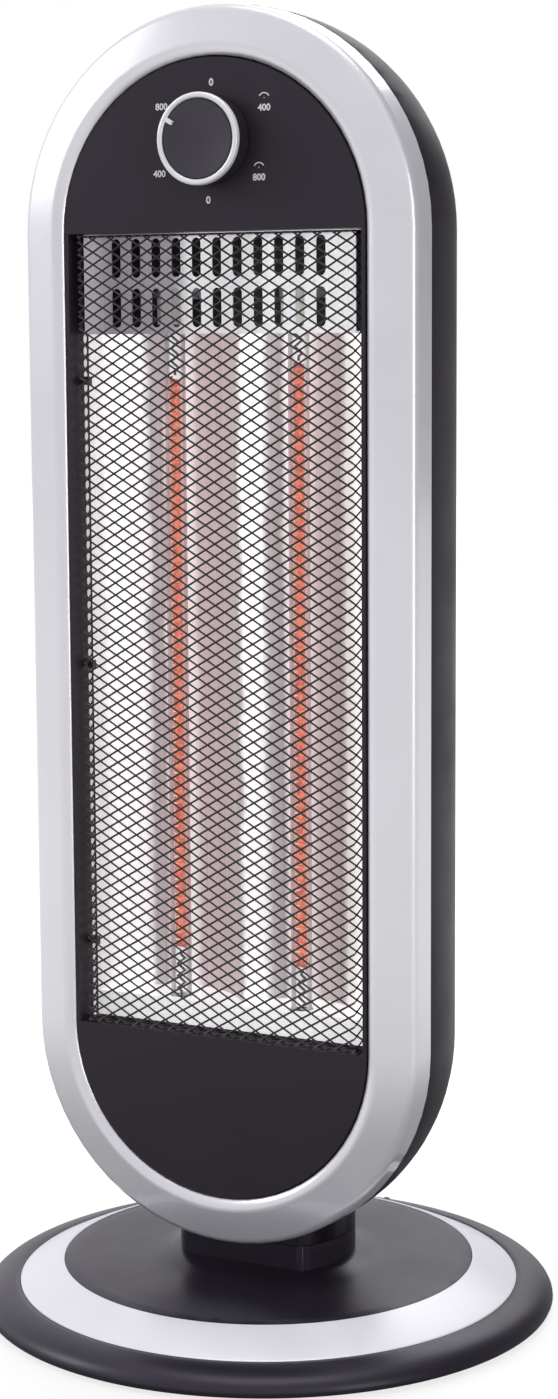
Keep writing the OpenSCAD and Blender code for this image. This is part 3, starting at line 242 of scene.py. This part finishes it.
def grain_group():
    """Fine moulded grain: varies a colour and a roughness and puts out a height."""
    name = "moulded_grain"
    if name in bpy.data.node_groups:
        return bpy.data.node_groups[name]
    tree = bpy.data.node_groups.new(name, "ShaderNodeTree")
    for label, kind, way in (
        ("Color", "Color", "INPUT"), ("Grain", "Float", "INPUT"), ("Tint", "Float", "INPUT"),
        ("Roughness", "Float", "INPUT"), ("Mottle", "Float", "INPUT"),
        ("Color", "Color", "OUTPUT"), ("Roughness", "Float", "OUTPUT"), ("Height", "Float", "OUTPUT"),
    ):
        tree.interface.new_socket(label, in_out=way, socket_type="NodeSocket" + kind)
    n = Nodes(tree)
    enter = n.add("NodeGroupInput").outputs
    leave = n.add("NodeGroupOutput")
    where = n.add("ShaderNodeTexCoord").outputs["Object"]
    patches = n.remap(n.noise(where, 24.0, 4.0), 0.3, 0.7, -0.5, 0.5)
    value = n.math("ADD", n.math("MULTIPLY", patches, enter["Tint"]), 1.0)
    tint = n.add("ShaderNodeHueSaturation", {"Color": enter["Color"], "Value": value})
    mottle = n.math("MULTIPLY", patches, enter["Mottle"])
    rough = n.math("ADD", enter["Roughness"], mottle, use_clamp=True)
    n.fill(leave, {"Color": tint.outputs["Color"], "Roughness": rough,
                   "Height": n.noise(where, enter["Grain"], 3.0)})
    return tree


def plastic(name, color, roughness, grain=4000.0, tint=0.12, mottle=0.1, bump=0.02, coat=0.0, metallic=0.0,
            specular=0.5):
    """A moulded plastic or paint with fine grain and a little variation."""
    material = bpy.data.materials.get(name)
    if material:
        return material
    material, n, shader = new_material(name)
    group = n.add("ShaderNodeGroup", {"Color": rgba(color), "Grain": grain, "Tint": tint,
                                      "Roughness": roughness, "Mottle": mottle}, node_tree=grain_group())
    bumped = n.add("ShaderNodeBump", {"Height": group.outputs["Height"], "Strength": bump,
                                      "Distance": 0.0005})
    n.fill(shader, {"Base Color": group.outputs["Color"], "Roughness": group.outputs["Roughness"],
                    "Normal": bumped.outputs["Normal"], "Metallic": metallic,
                    "Specular IOR Level": specular, "Specular Tint": (0.9, 0.87, 1.0, 1.0)})
    if coat:
        n.fill(shader, {"Coat Weight": coat, "Coat Roughness": 0.08})
    return material


# Colours across the window, each at its x in mm: bands of painted reflection and shade, pinkish where they
# stand for the glow's light
REFLECTOR_PAINTED_REFLECTIONS = (
    (-73, (0.72, 0.69, 0.71)), (-66, (0.93, 0.93, 0.93)), (-56, (0.94, 0.94, 0.94)),
    (-52, (0.42, 0.38, 0.39)), (-48, (0.4, 0.34, 0.35)), (-45, (0.84, 0.82, 0.82)),
    (-36, (0.8, 0.75, 0.75)), (-29, (0.5, 0.41, 0.42)), (-15, (0.42, 0.34, 0.345)),
    (-0.5, (0.38, 0.33, 0.33)), (2.5, (0.94, 0.94, 0.94)), (8, (0.93, 0.93, 0.92)),
    (12, (0.42, 0.39, 0.4)), (16, (0.34, 0.31, 0.32)), (19, (0.8, 0.77, 0.76)),
    (26, (0.78, 0.72, 0.72)), (35, (0.46, 0.38, 0.38)), (46, (0.34, 0.285, 0.285)),
    (53, (0.7, 0.68, 0.68)), (61, (0.9, 0.9, 0.9)), (73, (0.93, 0.93, 0.93)),
)
# Painted reflection and shade on the top plate: darker grey at the left, bright white at the right, each
# colour at its x in mm
PLATE_PAINTED_REFLECTIONS = (
    (-70, (0.45, 0.43, 0.45)), (-55, (0.26, 0.24, 0.27)), (-25, (0.32, 0.3, 0.32)),
    (-12, (0.85, 0.84, 0.85)), (10, (0.8, 0.79, 0.8)), (30, (0.93, 0.93, 0.93)),
    (70, (0.94, 0.94, 0.94)),
)
# Painted shade and reflection on the bottom plate: a little darker at its left, each colour at its x in mm
STRIP_PAINTED_REFLECTIONS = ((-70, (0.84, 0.83, 0.84)), (-20, (0.93, 0.93, 0.93)), (70, (0.94, 0.94, 0.94)))


def rolled_sheet(name, bands, roughness, lit):
    """Bright rolled sheet: rolling lines, soft dents, and bands of painted reflection and shade across its
    width.

    Lit is the strength of its own light, which stands for what its troughs throw back and forth.
    """
    material = bpy.data.materials.get(name)
    if material:
        return material
    material, n, shader = new_material(name)
    where = n.add("ShaderNodeTexCoord").outputs["Object"]
    place = n.add("ShaderNodeSeparateXYZ", {"Vector": where}).outputs
    stretched = n.add("ShaderNodeMapping", {"Vector": where, "Scale": (900.0, 900.0, 25.0)})
    lines = n.noise(stretched.outputs[0], 1.0, 3.0)
    dents = n.noise(where, 45.0, 2.0)
    wander = n.remap(dents, 0.0, 1.0, -0.0025, 0.0025)  # so that no band has a straight edge
    across = n.remap(n.math("ADD", place["X"], wander), -HALF_WINDOW, HALF_WINDOW, 0.0, 1.0)
    # painted reflection and shade: the ramp lays the light and dark bands across the width
    ramp = n.add("ShaderNodeValToRGB", {"Fac": across})
    ramp.color_ramp.interpolation = "EASE"
    stops = ramp.color_ramp.elements
    while len(stops) < len(bands):
        stops.new(0.5)
    for stop, (x, color) in zip(stops, bands):
        stop.position = (x / 1000 + HALF_WINDOW) / (2 * HALF_WINDOW)
        stop.color = rgba(color)
    streak = n.remap(lines, 0.3, 0.7, 0.94, 1.05)
    fade = n.remap(place["Z"], 0.15, 0.5, 0.9, 1.07)  # brighter towards the top
    tone = n.add("ShaderNodeHueSaturation", {"Color": ramp.outputs["Color"],
                                             "Value": n.math("MULTIPLY", streak, fade)}).outputs["Color"]
    rough = n.remap(lines, 0.0, 1.0, roughness - 0.08, roughness + 0.1)
    height = n.math("MULTIPLY_ADD", dents, 6.0, lines)
    bumped = n.add("ShaderNodeBump", {"Height": height, "Strength": 0.15, "Distance": 0.0006})
    # Painted glow: the sheet gives off light in its own banded colours, for what its troughs throw back and
    # forth
    n.fill(shader, {"Base Color": tone, "Roughness": rough, "Metallic": 0.15,
                    "Normal": bumped.outputs["Normal"], "Emission Color": tone, "Emission Strength": lit})
    return material


def quartz(name):
    """Clear quartz with a faint haze, and white rims where it turns away, which are a painted reflection."""
    material, n, shader = new_material(name)
    where = n.add("ShaderNodeTexCoord").outputs["Object"]
    haze = n.remap(n.noise(where, 60.0, 3.0), 0.0, 1.0, 0.02, 0.08)
    # painted reflection: the Fresnel rim lets the white colour show at the tube's edges
    rim = n.add("ShaderNodeFresnel", {"IOR": 1.46}).outputs[0]
    n.fill(shader, {"Base Color": (0.9, 0.9, 0.92, 1), "Roughness": 0.05,
                    "Alpha": n.math("MULTIPLY_ADD", rim, 0.8, haze, use_clamp=True)})
    return material


def glow(name, color, strength, low, high):
    """Carbon strip at working heat: beads of its weave, and duller ends between two heights."""
    end, dull = 0.006, 0.35  # length of a duller end, and its level
    material, n, shader = new_material(name)
    where = n.add("ShaderNodeTexCoord").outputs["Object"]
    weave = n.add("ShaderNodeValToRGB", {"Fac": n.noise(where, 500.0, 2.0)})
    dark, bright = weave.color_ramp.elements
    dark.position = 0.34
    dark.color = rgba([c * 0.55 for c in color])
    bright.position = 0.6
    bright.color = rgba((color[0], color[1] * 1.3, color[2] * 1.5))
    height = n.add("ShaderNodeSeparateXYZ", {"Vector": where}).outputs["Z"]
    rise = n.remap(height, low, low + end, dull, 1.0)
    fall = n.remap(height, high - end, high, 1.0, dull)
    lit = n.math("MULTIPLY", n.math("MULTIPLY", rise, fall), strength)
    n.fill(shader, {"Emission Color": weave.outputs["Color"], "Emission Strength": lit,
                    "Base Color": (0.02, 0.015, 0.015, 1), "Roughness": 0.8})
    return material


def finishes():
    """Every material of the heater, by a plain name."""
    p = bpy.context.scene.heater_finish
    # Painted light: the base's ring gets the frame's paint made lighter, for the light that falls on its
    # upward face
    ring_lit_color = [c * 1.22 for c in p.silver]  # the base's ring is the frame's paint, a little lighter
    return {
        "housing": plastic("housing_plastic", p.housing, 0.48, bump=0.03, mottle=0.12, specular=0.28),
        "base": plastic("base_plastic", p.base, 0.34, bump=0.015, mottle=0.08, specular=0.45),
        "panel": plastic("panel_plastic", p.panel, 0.42, bump=0.03, specular=0.25),
        "silver": plastic("silver_finish", p.silver, 0.3, grain=9000.0, tint=0.05, mottle=0.05, bump=0.02,
                          metallic=0.4, coat=0.9),
        "ring": plastic("ring_finish", ring_lit_color, 0.3, grain=9000.0, tint=0.05, mottle=0.05, bump=0.02,
                        metallic=0.15),
        "knob": plastic("knob_plastic", p.knob, 0.35, bump=0.02),
        "knob_ring": plastic("knob_ring_plating", (0.95, 0.95, 0.95), 0.25, tint=0.03, mottle=0.03,
                             bump=0.005, metallic=0.15),
        "guard": plastic("guard_paint", p.guard, 0.5, tint=0.2, bump=0.05),
        # The three sheets carry painted reflection and shade in bands, and a painted glow of strength lit
        "sheet": rolled_sheet("reflector_sheet", REFLECTOR_PAINTED_REFLECTIONS, 0.3, lit=0.66),
        "plate": rolled_sheet("plate_sheet", PLATE_PAINTED_REFLECTIONS, 0.32, lit=0.42),
        "strip": rolled_sheet("strip_sheet", STRIP_PAINTED_REFLECTIONS, 0.32, lit=0.6),
        "zinc": plastic("zinc_plating", (0.55, 0.56, 0.57), 0.38, grain=2500.0, metallic=1.0, tint=0.1),
        # Painted shade: the heat shield is near black, for the shade inside the head behind its slots
        "shield": plastic("shield_dark_as_shade", (0.03, 0.03, 0.032), 0.6, grain=2500.0, metallic=0.4, tint=0.2),
        "natural": plastic("natural_moulding", (0.72, 0.7, 0.63), 0.5),
        "rubber": plastic("black_rubber", (0.022, 0.022, 0.023), 0.8, bump=0.08),
        "ceramic": plastic("ceramic_body", (0.82, 0.8, 0.74), 0.6, grain=1500.0, bump=0.06),
        "print": plastic("dial_print", (0.95, 0.95, 0.95), 0.6, bump=0.0, tint=0.02),
        "lead": plastic("lead_wire", (0.06, 0.055, 0.055), 0.5, metallic=0.6, tint=0.1),
    }


NODE_FINISH = {
    "housing": ["rear_housing"],
    "base": ["base_shell", "base_collar", "neck"],
    "panel": ["front_panel", "carry_grip", "base_plate"],
    "silver": ["front_frame"],
    "ring": ["base_trim_ring"],
    "knob": ["knob"],
    "knob_ring": ["knob_ring"],
    "sheet": ["reflector"],
    "plate": ["top_plate"],
    "strip": ["bottom_plate"],
    "zinc": ["base_screws", "collar_screws", "pivot_post", "retaining_ring", "post_nut", "tip_spring",
             "neck_screws", "motor_bracket", "swing_motor", "motor_screws", "motor_shaft", "housing_screws",
             "panel_screws", "reflector_screws", "tube_clips", "switch_screws", "switch_spindle"],
    "shield": ["heat_shield"],
    "lead": ["tube_leads"],
    "natural": ["terminal_block", "tip_switch", "slip_washer", "drive_sector", "tip_plunger", "drive_pinion",
                "thermal_cutout", "rotary_switch"],
    "rubber": ["rubber_feet", "cord_gland"],
    "ceramic": ["ceramic_caps"],
}


# Settings


def color_property(label, default):
    return bpy.props.FloatVectorProperty(name=label, description=label + " colour, linear", subtype="COLOR",
                                         size=3, min=0.0, max=1.0, default=default)


class HeaterFinish(bpy.types.PropertyGroup):
    housing: color_property("Rear housing", (0.014, 0.011, 0.016))
    base: color_property("Base and neck", (0.0135, 0.0102, 0.0175))
    panel: color_property("Front panel", (0.026, 0.02, 0.027))
    silver: color_property("Silver paint", (0.76, 0.755, 0.785))
    knob: color_property("Knob", (0.028, 0.023, 0.032))
    guard: color_property("Guard paint", (0.026, 0.021, 0.022))
    glow: color_property("Carbon glow", (0.88, 0.18, 0.09))
    glow_strength: bpy.props.FloatProperty(name="Glow strength",
                                           description="Brightness of the carbon strips",
                                           default=1.0, min=0.0, max=20.0)


class HeaterGuard(bpy.types.PropertyGroup):
    width: bpy.props.FloatProperty(name="Width", description="Width of the guard's front", unit="LENGTH",
                                   default=0.1418)
    half_height: bpy.props.FloatProperty(name="Half height", description="Half the front's height",
                                         unit="LENGTH", default=0.1868)
    side_fold: bpy.props.FloatProperty(name="Side fold", description="Depth of the sides and the bottom",
                                       unit="LENGTH", default=0.0100)
    top_fold: bpy.props.FloatProperty(name="Top lip", description="Depth of the lip at the top",
                                      unit="LENGTH", default=0.0034)
    splay: bpy.props.FloatProperty(name="Splay", description="How far the side folds lean out",
                                   unit="ROTATION", default=math.radians(9.1))
    diamond_w: bpy.props.FloatProperty(name="Diamond width", description="Strand to strand, across",
                                       unit="LENGTH", default=0.0097)
    diamond_h: bpy.props.FloatProperty(name="Diamond height", description="Strand to strand, upward",
                                       unit="LENGTH", default=0.0057)
    strand: bpy.props.FloatProperty(name="Strand", description="Width of one strand", unit="LENGTH",
                                    default=0.00095)


# Operators


class HEATER_OT_finishes(bpy.types.Operator):
    """Give every solid its finish"""

    bl_idname = "heater.finishes"
    bl_label = "Finishes"

    def execute(self, context):
        made = finishes()
        for finish, nodes in NODE_FINISH.items():
            for node in nodes:
                dress(node, made[finish])
        p = context.scene.heater_finish
        clear = quartz("quartz_glass")
        for side in ("left", "right"):
            _, _, low, high = strip_place(side)
            dress("quartz_tube_" + side, clear)
            dress("filament_" + side, glow("carbon_glow_" + side, p.glow, p.glow_strength, low, high))
        return {"FINISHED"}


class HEATER_OT_smooth_mouldings(bpy.types.Operator):
    """Copy the mouldings with their corners joined and their curves shaded smooth"""

    bl_idname = "heater.smooth_mouldings"
    bl_label = "Smooth mouldings"

    def execute(self, context):
        pole_radius, pole_gap = 0.002, 0.0015  # round the middle of the knob's dished face
        for node, angle in SMOOTH_NODES.items():
            source = frame["nodes"][node]
            bm = bmesh.new()
            bm.from_mesh(source.data)
            bmesh.ops.remove_doubles(bm, verts=bm.verts, dist=1e-6)
            if node == "knob":  # closes the slivers at its pole
                pole = [v for v in bm.verts if math.hypot(v.co.x, v.co.z - KNOB_Z) < pole_radius]
                bmesh.ops.remove_doubles(bm, verts=pole, dist=pole_gap)
            piece = add_piece(node + "_shell", bm, body_of(node), list(source.data.materials), angle)
            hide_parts(node)
            weighted = piece.modifiers.new("even_shading", "WEIGHTED_NORMAL")
            weighted.keep_sharp = True
        return {"FINISHED"}


class HEATER_OT_frame(bpy.types.Operator):
    """Sweep the silver frame with its rounded edge, sloping face and inner bevel"""

    bl_idname = "heater.frame"
    bl_label = "Silver frame"

    def execute(self, context):
        # The outer edge, the sloping face, the inner bevel, the lip, and back along the inside
        profile = [(102.0, 33.0)]
        profile += arc_points((96.4, 43.67), 4.8, 0, 75, 10)
        profile += arc_points((83.0, 45.8), 6.2, 75, 136, 10)
        profile += [(78.25, 49.7), (78.2, 46.0), (79.8, 46.0), (79.8, 48.4), (82.9, 49.6), (97.0, 45.8),
                    (98.8, 44.0), (99.8, 33.0)]
        piece = add_piece("frame_skin", oval_sweep(profile), "head", [finishes()["silver"]], 24)
        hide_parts("front_frame")
        return {"FINISHED"}


class HEATER_OT_coils(bpy.types.Operator):
    """Wind the glowing carbon ribbon in each tube"""

    bl_idname = "heater.coils"
    bl_label = "Carbon coils"

    def execute(self, context):
        pitch, width, outer, inner = 0.0037, 0.0029, 0.0026, 0.0023
        steps_per_turn = 14
        for side in ("left", "right"):
            x, y, low, high = strip_place(side)
            bm = bmesh.new()
            section = [(inner, 0), (outer, 0), (outer, width), (inner, width)]
            face = bm.faces.new([bm.verts.new((x + r, y, low + z)) for r, z in section])
            rise = high - low - width
            turns = rise / pitch
            steps = round(turns * steps_per_turn)
            bmesh.ops.spin(bm, geom=[face], cent=(x, y, 0), axis=(0, 0, 1), dvec=(0, 0, rise / steps),
                           angle=2 * math.pi * turns, steps=steps)
            bmesh.ops.recalc_face_normals(bm, faces=bm.faces)
            hot = frame["nodes"]["filament_" + side].data.materials[0]
            piece = add_piece("carbon_coil_" + side, bm, "head", [hot], 40)
            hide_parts("filament_" + side)
        return {"FINISHED"}


class HEATER_OT_guard(bpy.types.Operator):
    """Make the guard of expanded mesh, folded at its edges"""

    bl_idname = "heater.guard"
    bl_label = "Guard mesh"

    def execute(self, context):
        p = context.scene.heater_guard
        half = (p.width / 2, p.half_height)
        wing, flap = math.pi / 2 - p.splay, math.pi / 2
        # Each fold line's axis, its place on that axis and how far the mesh turns there
        lines = ((X, half[X], wing), (X, -half[X], wing), (Y, half[Y], flap), (Y, -half[Y], flap))
        bm = self.sheet(p, half, lines)
        bmesh.ops.wireframe(bm, faces=bm.faces[:], thickness=p.strand, offset=0.0, use_replace=True,
                            use_boundary=True, use_even_offset=True)
        self.fold(bm, half, lines)
        bmesh.ops.rotate(bm, cent=(0, 0, 0), matrix=Matrix.Rotation(math.pi / 2, 3, "X"), verts=bm.verts)
        bmesh.ops.translate(bm, vec=(0, GUARD_Y + p.strand / 2, HEAD_Z), verts=bm.verts)
        self.ears(bm)
        piece = add_piece("guard_mesh", bm, "head", [finishes()["guard"]])
        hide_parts("guard_grille")
        return {"FINISHED"}

    def sheet(self, p, half, lines):
        """The flat sheet of diamonds, without its corners and the slivers along its edges."""
        sliver_area = 1.2e-6
        side, bottom, top = half[X] + p.side_fold, half[Y] + p.side_fold, half[Y] + p.top_fold
        count = 2 * math.ceil(side / p.diamond_w + bottom / p.diamond_h) + 2
        diagonal = math.sqrt(2)
        bm = bmesh.new()
        bmesh.ops.create_grid(bm, x_segments=count, y_segments=count, size=count / 2)
        bmesh.ops.rotate(bm, cent=(0, 0, 0), matrix=Matrix.Rotation(math.pi / 4, 3, "Z"), verts=bm.verts)
        bmesh.ops.scale(bm, vec=(p.diamond_w / diagonal, p.diamond_h / diagonal, 1), verts=bm.verts)
        for axis, place in ((X, side), (X, -side), (Y, top), (Y, -bottom)):
            cut(bm, axis, place, clear_outer=True)
        for axis, place, _ in lines:
            cut(bm, axis, place)
        waste = []
        for face in bm.faces:
            middle = face.calc_center_median()
            in_corner = abs(middle.x) > half[X] and abs(middle.y) > half[Y]
            if in_corner or face.calc_area() < sliver_area:
                waste.append(face)
        bmesh.ops.delete(bm, geom=waste, context="FACES")
        bmesh.ops.remove_doubles(bm, verts=bm.verts, dist=1e-5)
        creases = [e for e in bm.edges if not e.is_boundary and any(
            all(abs(v.co[axis] - place) < 1e-6 for v in e.verts) for axis, place, _ in lines)]
        bmesh.ops.dissolve_edges(bm, edges=creases, use_verts=True)
        return bm

    def fold(self, bm, half, lines):
        """Bends the flat mesh back along its fold lines, with mitred creases."""
        on_line, tie = 2e-6, 1e-6  # how near a point is to count as on a fold line or a corner's diagonal
        for axis, place, _ in lines:
            cut(bm, axis, place, dist=1e-7)
        groups = []
        for axis, place, _ in lines:
            crease, beyond = [], []
            corner_side = tie if axis == X else -tie  # the corner's diagonal goes with the sides
            for v in bm.verts:
                out = math.copysign(1, place) * v.co[axis] - half[axis]
                across = abs(v.co[1 - axis]) - half[1 - axis]
                if abs(out) < on_line and across < tie:
                    crease.append(v)
                elif out > on_line and across < out + corner_side:
                    beyond.append(v)
            groups.append((crease, beyond))
        for (axis, place, turn), (crease, beyond) in zip(lines, groups):
            way = math.copysign(1, place)
            for v in crease:
                v.co[axis] += way * v.co.z * math.tan(turn / 2)
            centre = (place, 0, 0) if axis == X else (0, place, 0)
            angle = way * turn if axis == X else -way * turn
            bmesh.ops.rotate(bm, cent=centre, verts=beyond, matrix=Matrix.Rotation(angle, 3, "YX"[axis]))

    def ears(self, bm):
        """Adds the angled ears that hold the guard, each a leg at the fold and a tab behind the panel."""
        half_height, back = 0.002, -0.0372
        tab = (0.0720, 0.0865, -0.0379)  # its inner and outer end, and its front
        leg = (0.0716, 0.0724, -0.0406)
        for side in (1, -1):
            for z in (-0.150, -0.015, 0.120):
                for inner, outer, front in (tab, leg):
                    left, right = sorted((side * inner, side * outer))
                    join_box(bm, (left, front, HEAD_Z + z - half_height),
                             (right, back, HEAD_Z + z + half_height))


def mark(name, text, size):
    """A flat printed word as a mesh, centred, in the plane that faces the front."""
    curve = bpy.data.curves.new(name, "FONT")
    curve.body = text
    curve.size = size
    curve.align_x = "CENTER"
    curve.align_y = "CENTER"
    curve.extrude = PRINT / 2
    curve.offset = 0.00012  # makes the strokes bolder
    curve.resolution_u = 3
    holder = bpy.data.objects.new(name + "_curve", curve)
    bpy.context.scene.collection.objects.link(holder)
    bpy.context.view_layer.update()
    mesh = bpy.data.meshes.new_from_object(holder)
    bpy.data.objects.remove(holder)
    bm = bmesh.new()
    bm.from_mesh(mesh)
    bpy.data.meshes.remove(mesh)
    bmesh.ops.remove_doubles(bm, verts=bm.verts, dist=1e-6)
    bmesh.ops.rotate(bm, cent=(0, 0, 0), matrix=Matrix.Rotation(math.pi / 2, 3, "X"), verts=bm.verts)
    return bm


class HEATER_OT_dial_marks(bpy.types.Operator):
    """Print plain numbers and swing arcs round the knob"""

    bl_idname = "heater.dial_marks"
    bl_label = "Dial marks"

    def execute(self, context):
        whole = bmesh.new()
        large, small = 0.0046, 0.0042
        words = (("0", 0.0010, 0.5840, large), ("0", -0.0010, 0.5317, large),
                 ("800", -0.0248, 0.5741, small), ("400", -0.0262, 0.5441, small),
                 ("400", 0.0278, 0.5718, small), ("800", 0.0250, 0.5412, small))
        for index, (text, x, z, size) in enumerate(words):
            bm = mark("mark_%d" % index, text, size)
            bmesh.ops.translate(bm, vec=(x, FACE_Y - PRINT / 2, z), verts=bm.verts)
            part = bpy.data.meshes.new("part")
            bm.to_mesh(part)
            bm.free()
            whole.from_mesh(part)
            bpy.data.meshes.remove(part)
        for x, z in ((0.0278, 0.5762), (0.0250, 0.5456)):
            self.swing_arc(whole, x, z)
        bmesh.ops.recalc_face_normals(whole, faces=whole.faces)
        piece = add_piece("dial_marks", whole, "head", [finishes()["print"]])
        return {"FINISHED"}

    def swing_arc(self, bm, x, z):
        """A short arc with a dot under it, the usual sign for a swinging head."""
        dot, inner, outer, drop = 0.0004, 0.0025, 0.0030, 0.0006
        start, sweep = math.radians(30), math.radians(120)
        made = bmesh.ops.create_cube(bm, size=1.0)
        bmesh.ops.scale(bm, vec=(dot, PRINT, dot), verts=made["verts"])
        bmesh.ops.translate(bm, vec=(x, FACE_Y - PRINT / 2, z), verts=made["verts"])
        section = ((inner, 0), (outer, 0), (outer, -PRINT), (inner, -PRINT))
        face = bm.faces.new([bm.verts.new((x + r * math.cos(start), FACE_Y + out,
                                           z - drop + r * math.sin(start))) for r, out in section])
        bmesh.ops.spin(bm, geom=[face], cent=(x, FACE_Y, z - drop), axis=(0, -1, 0), angle=sweep, steps=10)


class HEATER_OT_stage(bpy.types.Operator):
    """Set the floor, the lights and the camera"""

    bl_idname = "heater.stage"
    bl_label = "Studio"

    def execute(self, context):
        scene = context.scene
        scene.view_settings.view_transform = "Standard"
        self.floor()
        self.world(scene)
        # Each lamp's name, place, the point it faces, its width and height, and its power
        for name, place, aim, width, height, power in (
            ("key", (-2.0, -0.95, 1.4), (0, 0, 0.35), 1.0, 1.2, 15.0),
            ("top", (0.1, -0.1, 2.7), (0, 0, 0.3), 1.4, 1.4, 15.0),
            ("strip", (1.75, -0.9, 0.62), (0, 0, 0.62), 0.35, 1.2, 7.0),
            ("rear", (-0.2, 1.7, 1.6), (0, 0, 0.3), 1.2, 1.2, 8.0),
        ):
            lamp = bpy.data.lights.new(name, "AREA")
            lamp.shape = "RECTANGLE"
            lamp.size = width
            lamp.size_y = height
            lamp.energy = power
            holder = bpy.data.objects.new(name, lamp)
            holder.location = place
            holder.rotation_euler = (Vector(aim) - Vector(place)).to_track_quat("-Z", "Y").to_euler()
            scene.collection.objects.link(holder)
        self.camera(scene)
        return {"FINISHED"}

    def floor(self):
        """A plain floor that is white to the camera, and darker where the base shades it."""
        bm = bmesh.new()
        bmesh.ops.create_grid(bm, x_segments=1, y_segments=1, size=6)
        mesh = bpy.data.meshes.new("floor")
        bm.to_mesh(mesh)
        bm.free()
        floor = bpy.data.objects.new("floor", mesh)
        bpy.context.scene.collection.objects.link(floor)
        material, n, shader = new_material("floor_white")
        ray = n.add("ShaderNodeLightPath").outputs
        where = n.add("ShaderNodeTexCoord").outputs["Object"]
        away = n.add("ShaderNodeVectorMath", {0: where}, operation="LENGTH").outputs["Value"]
        to_camera = n.remap(away, 0.14, 0.45, 0.78, 1.0, interpolation_type="SMOOTHSTEP")
        to_gloss = n.remap(away, 0.22, 0.7, 0.12, 1.0, interpolation_type="SMOOTHSTEP")
        direct = n.math("MULTIPLY", ray["Is Camera Ray"], to_camera)
        n.fill(shader, {"Base Color": (0.2, 0.2, 0.2, 1), "Roughness": 0.6, "Emission Color": (1, 1, 1, 1),
                        "Emission Strength": n.math("MULTIPLY_ADD", ray["Is Glossy Ray"], to_gloss, direct)})
        mesh.materials.append(material)

    def world(self, scene):
        """A pale studio: white to the camera, and dimmer towards one corner and below in reflections."""
        world = bpy.data.worlds.new("studio")
        world.use_nodes = True
        scene.world = world
        n = Nodes(world.node_tree)
        ray = n.add("ShaderNodeLightPath").outputs
        toward = n.add("ShaderNodeSeparateXYZ", {"Vector": n.add("ShaderNodeTexCoord").outputs["Generated"]})
        x, y, z = toward.outputs
        tinge = n.mix(ray["Is Camera Ray"], (0.965, 0.95, 1.0, 1.0), (1.0, 1.0, 1.0, 1.0), "RGBA")
        soft = n.remap(y, -0.5, 0.5, 0.6, 0.5, interpolation_type="SMOOTHSTEP")
        corner = n.math("MULTIPLY_ADD", y, 0.6, x)
        dim = n.remap(corner, 0.2, 0.8, 1.0, 0.28, interpolation_type="SMOOTHSTEP")
        rise = n.remap(z, -0.45, -0.12, 0.15, 1.0, interpolation_type="SMOOTHSTEP")
        shiny = n.math("MAXIMUM", ray["Is Glossy Ray"], ray["Is Transmission Ray"])
        lit = n.mix(shiny, soft, n.math("MULTIPLY", dim, rise))
        n.fill(world.node_tree.nodes["Background"], {"Color": tinge,
                                                     "Strength": n.mix(ray["Is Camera Ray"], lit, 1.0)})

    def camera(self, scene):
        """The photograph's view, fitted to the base's rings, the head's oval, the window and the knob."""
        place = (0.6035, -1.1643, 0.4740)
        yaw, pitch, roll = -0.473, 0.134, -0.006
        forward = Vector((math.sin(yaw) * math.cos(pitch), math.cos(yaw) * math.cos(pitch),
                          -math.sin(pitch)))
        level_right = Vector((math.cos(yaw), -math.sin(yaw), 0))
        level_up = level_right.cross(forward)
        right = math.cos(roll) * level_right + math.sin(roll) * level_up
        up = -math.sin(roll) * level_right + math.cos(roll) * level_up
        lens = bpy.data.cameras.new("camera")
        lens.sensor_width = 36
        lens.lens = 70.84  # both in mm
        holder = bpy.data.objects.new("camera", lens)
        holder.matrix_world = Matrix.Translation(place) @ Matrix((right, up, -forward)).transposed().to_4x4()
        scene.collection.objects.link(holder)
        scene.camera = holder


class HEATER_PT_panel(bpy.types.Panel):
    """The heater's pieces and finishes"""

    bl_idname = "HEATER_PT_panel"
    bl_label = "Carbon heater"
    bl_space_type = "VIEW_3D"
    bl_region_type = "UI"
    bl_category = "Heater"

    def draw(self, context):
        for group in (context.scene.heater_finish, context.scene.heater_guard):
            for name in group.bl_rna.properties.keys():
                if name not in ("rna_type", "name"):
                    self.layout.prop(group, name)
        for operator in OPERATORS:
            self.layout.operator(operator.bl_idname)


OPERATORS = (
    HEATER_OT_finishes,
    HEATER_OT_smooth_mouldings,
    HEATER_OT_frame,
    HEATER_OT_coils,
    HEATER_OT_guard,
    HEATER_OT_dial_marks,
    HEATER_OT_stage,
)
CLASSES = (HeaterFinish, HeaterGuard, *OPERATORS, HEATER_PT_panel)


def register():
    for cls in CLASSES:
        bpy.utils.register_class(cls)
    bpy.types.Scene.heater_finish = bpy.props.PointerProperty(type=HeaterFinish)
    bpy.types.Scene.heater_guard = bpy.props.PointerProperty(type=HeaterGuard)


def unregister():
    del bpy.types.Scene.heater_guard
    del bpy.types.Scene.heater_finish
    for cls in reversed(CLASSES):
        bpy.utils.unregister_class(cls)


def main():
    register()
    for old in [o for o in bpy.data.objects if o.type in ("CAMERA", "LIGHT") or o.name == "Cube"]:
        bpy.data.objects.remove(old)
    bpy.ops.heater.finishes()
    bpy.ops.heater.smooth_mouldings()
    bpy.ops.heater.frame()
    bpy.ops.heater.coils()
    bpy.ops.heater.guard()
    bpy.ops.heater.dial_marks()
    bpy.ops.heater.stage()
    bpy.context.view_layer.update()


if __name__ == "__main__":
    main()
